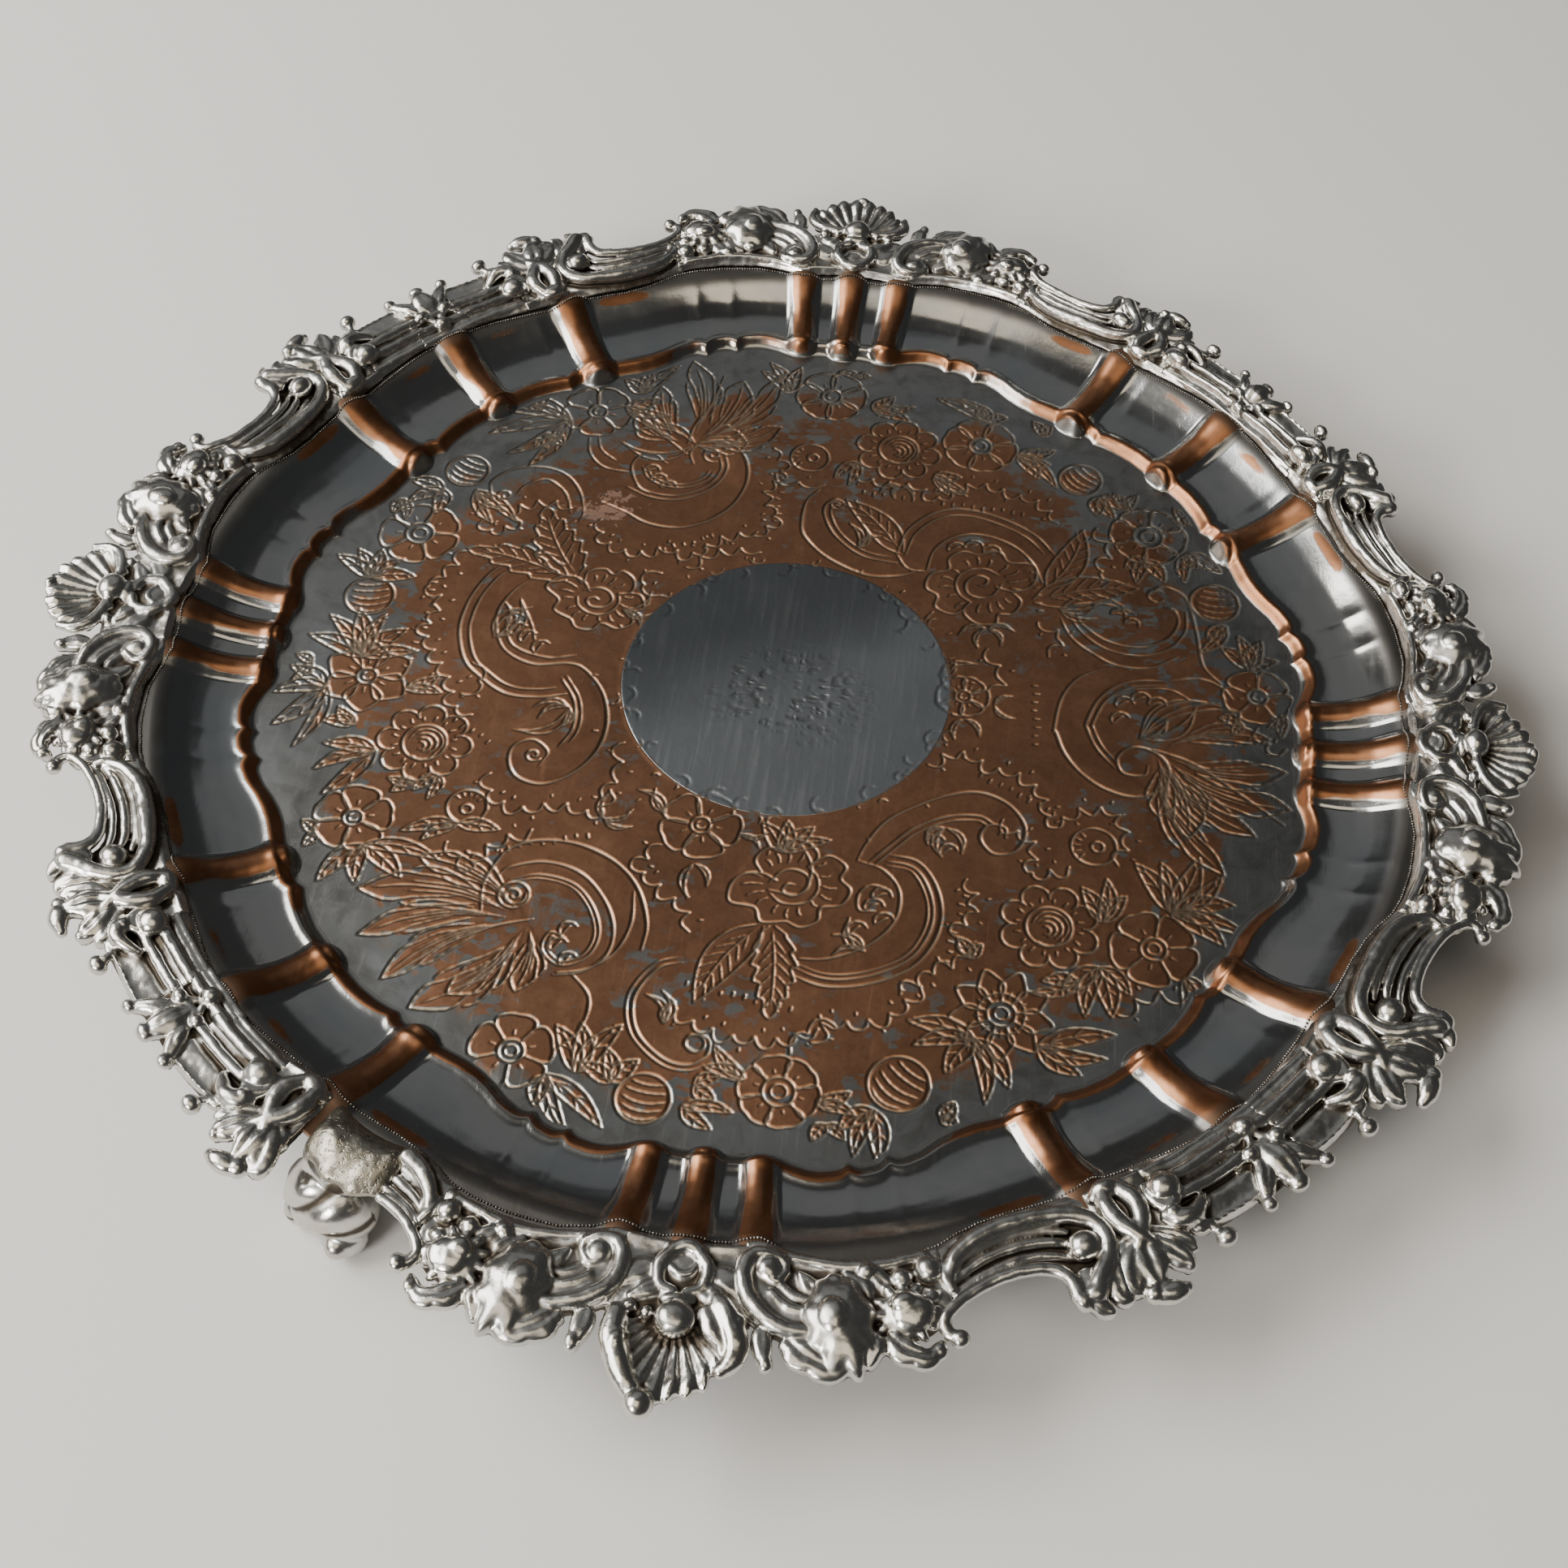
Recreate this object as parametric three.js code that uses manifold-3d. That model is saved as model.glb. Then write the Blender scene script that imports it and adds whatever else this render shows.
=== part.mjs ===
// Silver salver in the Old Sheffield manner: one sheet of silver fused on
// copper, raised into a shallow well with a fluted wall and a flat flange,
// a silver shield let into the centre, a border of struck mounts filled
// with lead-tin and soldered round the flange, and three shell feet.
// Millimetres, +Z up. Origin on the table under the centre of the salver.
import * as THREE from 'three';
import { mergeVertices } from 'three/addons/utils/BufferGeometryUtils.js';
import Module from 'manifold-3d';

const wasm = await Module();
wasm.setup();

// ---- driving dimensions ----------------------------------------------------
const R = 105;                 // mean radius of the well's floor
const FLOOR_Z = 13;            // top of the floor above the table
const SHEET = 1.2;             // thickness of the sheet
const WELL_DEPTH = 7.4;        // floor up to the flange
const SHIELD_R = 34.5;         // let-in silver shield
const SHIELD_Y = 4;            // it sits this far behind the middle
const SHIELD_T = 0.4;
const GAP = 0.3;               // clearance between soldered pieces
const FLANGE_OUT = 136;        // outer edge of the sheet under the border
const RIB_END = 127;           // where the flutes run out under the border
const MOUNT_Z = FLOOR_Z + WELL_DEPTH + GAP;   // underside of the mounts
const GROUP_RIB_STEP = 5.2;    // degrees between the three flutes at a shell
const SINGLE_RIBS = [31.5, 45, 58.5];         // degrees from a shell's axis
const FOOT_ANGLES = [2, 122, 242];            // degrees
const FOOT_R = 137;            // foot centre from the axis
const FOOT_W = 18;

const deg = Math.PI / 180;
const SILVER = 0xb9b7b0, COPPER = 0x8a5638, SHIELD = 0x8d9299, LEAD = 0x8f8b80;
const metal = (color, roughness) =>
  new THREE.MeshStandardMaterial({ color, roughness, metalness: 1 });

const salver = new THREE.Group();
const add = (name, geometry, material) => {
  const mesh = new THREE.Mesh(geometry, material);
  mesh.name = name;
  salver.add(mesh);
  return mesh;
};

// ---- solids ----------------------------------------------------------------
const bare = (geometry) => {
  const g = geometry.clone();
  g.deleteAttribute('normal');
  g.deleteAttribute('uv');
  return mergeVertices(g, 1e-4);
};
const toSolid = (geometry) => {
  const g = bare(geometry);
  const vertProperties = Float32Array.from(g.attributes.position.array);
  const build = (triVerts) => new wasm.Manifold(new wasm.Mesh({ numProp: 3, vertProperties, triVerts }));
  const tris = Uint32Array.from(g.index.array);
  const solid = build(tris);
  if (solid.volume() > 0) return solid;
  // A profile or outline run the other way round faces inwards: turn it.
  for (let t = 0; t < tris.length; t += 3) [tris[t], tris[t + 1]] = [tris[t + 1], tris[t]];
  return build(tris);
};
const toGeometry = (solid) => {
  const m = solid.getMesh();
  const g = new THREE.BufferGeometry();
  const p = new Float32Array(m.numVert * 3);
  for (let i = 0; i < m.numVert; i++)
    for (let k = 0; k < 3; k++) p[3 * i + k] = m.vertProperties[i * m.numProp + k];
  g.setAttribute('position', new THREE.BufferAttribute(p, 3));
  g.setIndex(new THREE.BufferAttribute(Uint32Array.from(m.triVerts), 1));
  g.computeVertexNormals();
  return g;
};
// Straight-line reading of a table of pairs.
const at = (table, x) => {
  for (let i = 1; i < table.length; i++)
    if (x <= table[i][0]) {
      const [x0, y0] = table[i - 1], [x1, y1] = table[i];
      return y0 + (y1 - y0) * (x - x0) / (x1 - x0);
    }
  return table[table.length - 1][1];
};
// The rim is not equally deep all round: outside the wall it is drawn in on
// the far right. Angle in degrees and the share of its depth that is left.
const depthLeft = [[0, 0.82], [15, 0.79], [30, 0.71], [45, 0.66], [60, 0.67], [75, 0.77], [90, 0.90],
  [105, 0.90], [125, 0.85], [145, 0.89], [165, 0.93], [180, 0.965], [200, 0.94], [225, 0.90],
  [240, 0.93], [255, 1.0], [270, 1.02], [285, 1.0], [300, 0.96], [325, 0.955], [345, 0.92], [360, 0.82]];
const drawIn = (g) => {
  const p = g.attributes.position;
  const from = 1.215 * R;
  for (let i = 0; i < p.count; i++) {
    const r = Math.hypot(p.getX(i), p.getY(i));
    if (r <= from) continue;
    const a = (Math.atan2(p.getY(i), p.getX(i)) / deg + 360) % 360;
    const s = (from + (r - from) * at(depthLeft, a)) / r;
    p.setXYZ(i, p.getX(i) * s, p.getY(i) * s, p.getZ(i));
  }
  g.computeVertexNormals();
  return g;
};
// A closed lathe about +Z: three's lathe turns about +Y.
const latheZ = (profile, segments) => {
  const g = new THREE.LatheGeometry(profile.map(([r, z]) => new THREE.Vector2(r, z)), segments);
  g.rotateX(Math.PI / 2);
  return g;
};
const polar = (angle, r) => new THREE.Vector2(r * Math.cos(angle * deg), r * Math.sin(angle * deg));

// ---- the sheet -------------------------------------------------------------
// Stations round the sheet: five across each flute, a few between.
const stations = [];
const ribAt = (centre, half) => [-half, -0.55 * half, 0, 0.55 * half, half]
  .forEach((d) => stations.push({ a: centre + d, rib: 1 - (d / half) ** 2 }));
const plain = (a) => stations.push({ a, rib: 0 });
for (let q = 0; q < 4; q++) {
  const base = 90 * q;
  [-GROUP_RIB_STEP, 0, GROUP_RIB_STEP].forEach((d) => ribAt(base + d, 1.65));
  [11.5, 16, 20.5, 25].forEach((d) => plain(base + d));
  ribAt(base + SINGLE_RIBS[0], 2.0);
  plain(base + 38.25);
  ribAt(base + SINGLE_RIBS[1], 2.0);
  plain(base + 51.75);
  ribAt(base + SINGLE_RIBS[2], 2.0);
  [65, 69.5, 74, 78.5].forEach((d) => plain(base + d));
}
stations.sort((p, q) => p.a - q.a);

// Well edge: pulled in at the flutes and waved between them.
const wave = (a) => {
  const f = ((a % 90) + 90) % 90;
  const m = f > 45 ? 90 - f : f;
  if (m < 6.9) return -0.8;
  if (m < 29.5) return 1.1 * Math.sin(Math.PI * (m - 6.9) / 22.6) + 0.5 * Math.cos(2 * Math.PI * (m - 6.9) / 7.5);
  return 0.2;
};
// Top of the sheet outward from the well edge: [offset, height, flute height]
const topRings = [
  [-2.0, 0.0, 0.0], [0.4, 1.6, 1.2], [2.4, 2.1, 1.8], [8.0, 2.9, 2.2],
  [15.0, 4.9, 1.8], [20.0, 7.0, 0.7],
];
const underRings = [topRings[5], topRings[3], topRings[1], topRings[0]];
const N = stations.length;
const rings = [];
const flat = (r, z) => () => [r, z];
rings.push(flat(0, FLOOR_Z - SHEET + 0.5));
rings.push(flat(SHIELD_R + GAP, FLOOR_Z - SHEET + 0.5));
rings.push(flat(SHIELD_R + GAP, FLOOR_Z));
topRings.forEach(([o, z, h]) => rings.push((s) =>
  [R + wave(s.a) * (1 - Math.max(0, o) / 20) + o, FLOOR_Z + z + h * s.rib]));
rings.push(flat(RIB_END, FLOOR_Z + WELL_DEPTH));
rings.push(flat(FLANGE_OUT, FLOOR_Z + WELL_DEPTH));
rings.push(flat(FLANGE_OUT, FLOOR_Z + WELL_DEPTH - SHEET));
rings.push(flat(RIB_END + 0.5, FLOOR_Z + WELL_DEPTH - SHEET));
underRings.forEach(([o, z, h]) => rings.push((s) =>
  [R + wave(s.a) * (1 - Math.max(0, o) / 20) + o + 0.5, FLOOR_Z + z + h * s.rib - SHEET]));
rings.push(flat(0, FLOOR_Z - SHEET));
{
  const g = latheZ(rings.map((f) => f(stations[0])), N);
  const p = g.attributes.position;
  // The lathe keeps its rings in profile order inside each turn step.
  for (let i = 0; i <= N; i++) {
    const s = stations[i % N];
    rings.forEach((f, j) => {
      const [r, z] = f(s);
      p.setXYZ(i * rings.length + j, r * Math.cos(s.a * deg), r * Math.sin(s.a * deg) + (j < 3 ? SHIELD_Y : 0), z);
    });
  }
  const solid = toSolid(g);
  add('tray_body', drawIn(toGeometry(solid)), metal(COPPER, 0.35));
}

// ---- the let-in shield -----------------------------------------------------
{
  const g = latheZ([[0, FLOOR_Z - SHIELD_T], [SHIELD_R, FLOOR_Z - SHIELD_T],
    [SHIELD_R, FLOOR_Z - 0.1], [SHIELD_R - 0.2, FLOOR_Z], [0, FLOOR_Z]], 64);
  g.translate(0, SHIELD_Y, 0);
  add('centre_shield', toGeometry(toSolid(g)), metal(SHIELD, 0.3));
}

// ---- border mounts ---------------------------------------------------------
// Inner and outer outline of one eighth of the border, by degrees from a
// shell's axis, as multiples of R.
const inner = [[0, 1.222], [3.5, 1.218], [6, 1.212], [9, 1.225], [14, 1.245], [17.5, 1.245],
  [20, 1.222], [25, 1.212], [29.5, 1.214], [32.5, 1.208], [36, 1.218], [40, 1.225], [45, 1.225]];
const outer = [[0, 1.488], [1.2, 1.488], [2.4, 1.468], [3.4, 1.435], [4.3, 1.392], [5.2, 1.37],
  [6.4, 1.385], [7.6, 1.42], [9.5, 1.43], [12, 1.425], [14.5, 1.428], [16.8, 1.42], [18.1, 1.4],
  [19.2, 1.392], [20.0, 1.345], [21.6, 1.315], [24, 1.31], [26, 1.325], [27, 1.36], [27.6, 1.405],
  [29, 1.42], [31, 1.42], [32.2, 1.448], [33.6, 1.448], [34.8, 1.415], [36, 1.385], [38, 1.398],
  [39.2, 1.375], [41.3, 1.368], [42.8, 1.388], [44, 1.378], [45, 1.388]];
const fold = (f) => { const m = Math.abs(f) % 90; return m > 45 ? 90 - m : m; };

// Rolled section of the border, radius as a multiple of R and height.
const moulding = [[1.19, 0], [1.19, 0.9], [1.222, 1.8], [1.255, 2.7], [1.29, 3.3],
  [1.35, 3.6], [1.51, 1.9], [1.51, 0], [1.19, 0]];
const ring = toSolid(latheZ(moulding.map(([r, z]) => [r * R, z]), 72));

const slab = (points, z0, z1) => {
  const g = new THREE.ExtrudeGeometry(new THREE.Shape(points), { depth: z1 - z0, bevelEnabled: false });
  g.translate(0, 0, z0);
  return toSolid(g);
};
const boss = (angle, r, z, a, b, c, detail = 6) => {
  const g = new THREE.SphereGeometry(1, detail, Math.max(4, detail - 2));
  g.rotateX(Math.PI / 2);
  g.scale(a, b, c);
  g.rotateZ(angle * deg);
  const p = polar(angle, r * R);
  g.translate(p.x, p.y, z);
  return toSolid(g);
};
// One mount: the rolled section cut to its outline between two angles, with
// its raised bosses. sign -1 makes the mirrored mount.
const mount = (name, base, sign, f0, f1, bosses) => {
  const cut = GAP / (1.33 * R) / deg / 2;
  const a0 = f0 + cut, a1 = f1 - cut;
  const stops = (table) => {
    const keys = new Set([a0, a1]);
    table.forEach(([x]) => [x, -x, 90 - x].forEach((k) => {
      if (k > a0 + 0.25 && k < a1 - 0.25) keys.add(k);
    }));
    return [...keys].sort((p, q) => p - q);
  };
  const pts = [];
  stops(inner).forEach((f) => pts.push(polar(base + sign * f, at(inner, fold(f)) * R)));
  stops(outer).reverse().forEach((f) => pts.push(polar(base + sign * f, at(outer, fold(f)) * R)));
  let solid = ring.intersect(slab(pts, -1, 12));
  const wedge = slab([new THREE.Vector2(0, 0), polar(base + sign * a0, 180),
    polar(base + sign * a1, 180)], 0, 12);
  bosses.forEach(([f, r, z, a, b, c, d]) => {
    solid = solid.add(boss(base + sign * f, r, z, a, b, c, d).intersect(wedge));
  });
  return add(name, drawIn(toGeometry(solid.translate([0, 0, MOUNT_Z]))), metal(SILVER, 0.28));
};

// Struck shell: a fan of flutes over a boss and an eye.
const shellBosses = [[0, 1.345, 3.6, 4.2, 5.0, 2.2], [0, 1.262, 2.6, 3.0, 4.0, 1.6]];
const flowerBosses = [[6.1, 1.262, 2.6, 4.6, 3.6, 2.2], [9.6, 1.375, 3.2, 5.2, 5.6, 2.2],
  [14.6, 1.365, 3.2, 5.2, 5.6, 2.2]];
const scrollBosses = [[29.0, 1.288, 2.8, 3.0, 3.4, 2.2]];
const leafBosses = [[33.0, 1.40, 3.0, 5.0, 3.6, 2.2], [32.6, 1.255, 2.2, 4.4, 2.4, 2.2]];
const reedBosses = [[36.9, 1.29, 2.6, 6.0, 2.6, 2.2]];
const sprayBosses = [[45, 1.355, 3.0, 4.6, 3.6, 2.0], [45, 1.262, 2.4, 2.6, 2.6, 1.8]];

let n = 0;
for (let q = 0; q < 4; q++) {
  const base = 270 + 90 * q;      // shell axis; numbering runs from the front
  mount(`shell_mount_${q + 1}`, base, 1, -4.7, 4.7, shellBosses);
  for (const [shellAxis, sign] of [[base, 1], [base + 90, -1]]) {
    n += 1;
    mount(`flower_mount_${n}`, shellAxis, sign, 4.7, 18.5, flowerBosses);
    if (n === 8) {
      // The outer horn and one end of this scroll are left; the rest of its
      // struck skin is gone and the filling shows.
      mount(`scroll_mount_${n}`, shellAxis, sign, 18.5, 22.8, []);
      mount('bare_filling', shellAxis, sign, 22.8, 29.6, []);
    } else {
      mount(`scroll_mount_${n}`, shellAxis, sign, 18.5, 31.0, scrollBosses);
    }
    mount(`leaf_mount_${n}`, shellAxis, sign, 31.0, 35.6, leafBosses);
    mount(`reed_mount_${n}`, shellAxis, sign, 35.6, 42.2, reedBosses);
  }
  mount(`spray_mount_${q + 1}`, base, 1, 42.2, 47.8, sprayBosses);
}

// ---- feet ------------------------------------------------------------------
// Side outline of a foot, outward radius and height: a curved leg under the
// flange that spreads outward into a shell pad with a rolled toe.
const footTop = FLOOR_Z + WELL_DEPTH - SHEET - GAP;
const side = [[-7.5, footTop], [-8.0, 15.5], [-5.2, 10.5], [-4.2, 6.0], [-4.4, 2.2], [-2.2, 0],
  [4.4, 0], [7.0, 1.4], [8.2, 4.6], [7.0, 9.0], [4.4, 13.5], [1.6, 16.6], [0, footTop]];
FOOT_ANGLES.forEach((angle, i) => {
  const shape = new THREE.Shape(side.map(([x, z]) => new THREE.Vector2(x, z)));
  const g = new THREE.ExtrudeGeometry(shape, {
    depth: FOOT_W - 3, bevelEnabled: true, bevelThickness: 1.5, bevelSize: 1.2, bevelOffset: -1.2, bevelSegments: 1,
  });
  g.translate(0, 0, -(FOOT_W - 3) / 2);
  g.rotateX(Math.PI / 2);
  g.rotateZ(angle * deg);
  const p = polar(angle, FOOT_R);
  g.translate(p.x, p.y, 0);
  add(`foot_${i + 1}`, toGeometry(toSolid(g)), metal(SILVER, 0.28));
});

export default salver;
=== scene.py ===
import math
import bpy
import numpy as np
from mathutils import Matrix, Vector


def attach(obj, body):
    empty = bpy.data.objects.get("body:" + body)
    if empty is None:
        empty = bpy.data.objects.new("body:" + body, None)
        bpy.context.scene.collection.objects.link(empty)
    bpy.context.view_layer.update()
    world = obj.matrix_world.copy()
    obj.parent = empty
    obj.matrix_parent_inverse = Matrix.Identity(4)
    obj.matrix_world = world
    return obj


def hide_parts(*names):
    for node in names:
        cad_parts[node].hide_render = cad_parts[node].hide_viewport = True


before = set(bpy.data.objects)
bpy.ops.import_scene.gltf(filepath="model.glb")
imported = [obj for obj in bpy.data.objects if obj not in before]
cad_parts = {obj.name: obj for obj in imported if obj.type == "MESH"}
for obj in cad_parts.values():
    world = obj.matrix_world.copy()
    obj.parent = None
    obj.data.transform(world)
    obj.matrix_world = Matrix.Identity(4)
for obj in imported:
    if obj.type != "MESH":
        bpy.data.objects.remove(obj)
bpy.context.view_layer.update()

MM = 0.001

# ---- the sheet's dimensions, in millimetres --------------------------------
R = 105.0
FLOOR_Z = 13.0
WELL_DEPTH = 7.4
WALL_TOP = 127.6
FLANGE_OUT = 136.0
SHEET = 1.2
SHIELD_R = 34.5
SHIELD_Y = 4.0
FLANGE_Z = FLOOR_Z + WELL_DEPTH


# ---- small numeric helpers ---------------------------------------------------
def smooth(t):
    t = np.clip(t, 0.0, 1.0)
    return t * t * (3.0 - 2.0 * t)


def fold(phi):
    """Degrees from the nearest shell axis, 0 to 45."""
    m = np.mod(phi, 90.0)
    return np.where(m > 45.0, 90.0 - m, m)


def hash2(ix, iy, seed):
    h = (ix * 374761393 + iy * 668265263 + seed * 2147483647) & 0xFFFFFFFF
    h = ((h ^ (h >> 13)) * 1274126177) & 0xFFFFFFFF
    h = h ^ (h >> 16)
    return (h & 0xFFFF) / 65535.0


def vnoise(x, y, seed=0):
    """Smooth value noise in the range -1 to 1, about one feature per unit."""
    x = np.asarray(x, float)
    y = np.asarray(y, float)
    ix = np.floor(x).astype(np.int64)
    iy = np.floor(y).astype(np.int64)
    fx = smooth(x - ix)
    fy = smooth(y - iy)
    a = hash2(ix, iy, seed)
    b = hash2(ix + 1, iy, seed)
    c = hash2(ix, iy + 1, seed)
    d = hash2(ix + 1, iy + 1, seed)
    return 2.0 * ((a * (1 - fx) + b * fx) * (1 - fy) + (c * (1 - fx) + d * fx) * fy) - 1.0


def fbm(x, y, octaves=4, seed=0):
    out = 0.0
    amp = 1.0
    total = 0.0
    for k in range(octaves):
        out = out + amp * vnoise(x * 2 ** k, y * 2 ** k, seed + 17 * k)
        total += amp
        amp *= 0.5
    return out / total


# The border is not equally deep all round: the rim is drawn in on the far right.
DRAW = np.array([[0, 0.82], [15, 0.79], [30, 0.71], [45, 0.66], [60, 0.67], [75, 0.77], [90, 0.90], [105, 0.90],
                 [125, 0.85], [145, 0.89], [165, 0.93], [180, 0.965], [200, 0.94], [225, 0.90], [240, 0.93],
                 [255, 1.0], [270, 1.02], [285, 1.0], [300, 0.96], [325, 0.955], [345, 0.92], [360, 0.82]])
DRAW_FROM = 1.215


def draw_in(x, y):
    r = np.hypot(x, y)
    k = np.interp(np.degrees(np.arctan2(y, x)) % 360.0, DRAW[:, 0], DRAW[:, 1])
    r0 = DRAW_FROM * R
    r2 = np.where(r > r0, r0 + (r - r0) * k, r)
    return x * r2 / r, y * r2 / r


# ---- height of the sheet's upper face ----------------------------------------
EDGE = np.array([
    [0.0, 1.012], [2.6, 1.014], [5.2, 1.010], [6.8, 1.012], [8.0, 1.024], [9.4, 1.034], [10.6, 1.038],
    [12.2, 1.037], [12.9, 1.034], [13.35, 1.024], [13.8, 1.033], [14.6, 1.037], [16.0, 1.034],
    [16.7, 1.028], [17.2, 1.018], [17.7, 1.026], [18.6, 1.029], [20.5, 1.021], [22.4, 1.007],
    [24.2, 0.999], [26.2, 0.996], [28.6, 1.000], [31.5, 1.006], [33.4, 1.009], [34.6, 1.008],
    [35.4, 0.999], [36.2, 1.005], [38.0, 1.012], [40.6, 1.017], [42.6, 1.016], [45.0, 1.018]])
_ephi = np.linspace(0, 45, 1801)
_e = np.interp(_ephi, EDGE[:, 0], EDGE[:, 1])
_k = np.exp(-0.5 * (np.arange(-24, 25) / 7.0) ** 2)
_k /= _k.sum()
_e = np.convolve(np.pad(_e, 24, mode="edge"), _k, mode="valid")


def edge_r(phi):
    """Radius where the floor meets the riser round the well."""
    return R * np.interp(fold(phi), _ephi, _e)


RIBS = []
for q in range(4):
    for d in (-5.22, 0.0, 5.22):
        RIBS.append((90.0 * q + d, 3.55, 1.95, 1.004 if d else 0.998))
    for d, tip in ((31.4, 0.984), (45.0, 1.000), (58.6, 0.984)):
        RIBS.append((90.0 * q + d, 4.25, 2.05, tip))

_t = np.linspace(0, 1, 401)
_s = np.interp(_t, [0, 0.12, 0.28, 0.45, 0.62, 0.76, 0.88, 0.95, 1.0],
               [0, 0.005, 0.035, 0.15, 0.36, 0.62, 0.87, 0.965, 1.0])
_k2 = np.exp(-0.5 * (np.arange(-30, 31) / 12.0) ** 2)
_k2 /= _k2.sum()
_s = np.convolve(np.concatenate([np.full(30, 0.0), _s, np.full(30, 1.0)]), _k2, mode="valid")
RIDGE = 1.75


def sheet_top(r, phi):
    """Height above the floor, the copper mask of the high spots, and the rib mask."""
    e = edge_r(phi)
    o = r - e
    # riser with a rounded top, then the hollow of the wall
    riser = RIDGE * smooth((o + 0.3) / 2.6)
    crest = 0.28 * np.exp(-((o - 2.4) / 1.25) ** 2)
    t = np.clip((o - 2.0) / (WALL_TOP - e - 2.0), 0, 1)
    wall = (WELL_DEPTH - RIDGE) * np.interp(t, _t, _s)
    z = riser + crest + wall
    edge_hi = np.exp(-((o - 1.55) / 1.65) ** 4) * (o > -0.8)
    rib_hi = np.zeros_like(r)
    lift = np.zeros_like(r)
    tipz = np.zeros_like(r)
    for a, half, h, tip in RIBS:
        d = (np.mod(phi - a + 180.0, 360.0) - 180.0) * math.pi / 180.0 * r
        along = r - R * tip
        near = np.abs(d) < 9.0
        if not near.any():
            continue
        # rounded inner end
        grow = np.clip(along / (half * 1.0), 0, 1)
        w = half * np.sqrt(np.clip(1 - (1 - grow) ** 2, 0, 1)) + 1e-4
        flare = 1.06 + 0.10 * smooth((r - 119.0) / 8.0)
        w = w * flare * (1.0 - 0.08 * np.exp(-((r - 114.0) / 6.0) ** 2))
        u = np.clip(np.abs(d) / w, 0, 1)
        prof = (1 - u ** 2.3) ** 1.15
        body = prof * smooth(along / 2.6)
        end = 1.0 - 0.35 * smooth((r - 123.0) / 7.0)
        cand = np.where(near, body * h * end, 0.0)
        lift = np.maximum(lift, cand)
        # the flute stands on the floor: its end carries down to the floor
        foot = RIDGE * np.where(near, prof * smooth(along / 2.2), 0.0)
        tipz = np.maximum(tipz, foot)
        hi = np.where(near, np.clip(1.2 * (1 - u ** 1.7), 0, 1) * smooth(along / 1.2), 0.0)
        rib_hi = np.maximum(rib_hi, hi)
    base = np.maximum(z, tipz)
    return base + lift, np.clip(edge_hi, 0, 1), rib_hi


def new_mesh(name, verts, faces, smooth_shade=True):
    me = bpy.data.meshes.new(name)
    verts = np.asarray(verts, np.float64) * MM
    if isinstance(faces, np.ndarray):
        k = faces.shape[1]
        me.vertices.add(len(verts))
        me.vertices.foreach_set("co", verts.astype(np.float32).ravel())
        me.loops.add(faces.size)
        me.loops.foreach_set("vertex_index", faces.astype(np.int32).ravel())
        me.polygons.add(len(faces))
        me.polygons.foreach_set("loop_start", np.arange(0, faces.size, k, dtype=np.int32))
        me.polygons.foreach_set("loop_total", np.full(len(faces), k, np.int32))
        me.update(calc_edges=True)
        me.validate()
    else:
        me.from_pydata([tuple(v) for v in verts], [], faces)
        me.update()
    if smooth_shade:
        me.shade_smooth()
    ob = bpy.data.objects.new(name, me)
    bpy.context.scene.collection.objects.link(ob)
    return ob


def set_attr(ob, name, values):
    a = ob.data.attributes.new(name, "FLOAT", "POINT")
    a.data.foreach_set("value", np.asarray(values, np.float32).ravel())


def settle(ob, node, mat):
    ob.data.materials.clear()
    ob.data.materials.append(mat)
    if isinstance(node, str):
        node = [node]
    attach(ob, "root")
    if node:
        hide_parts(*node)
    return ob


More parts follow.
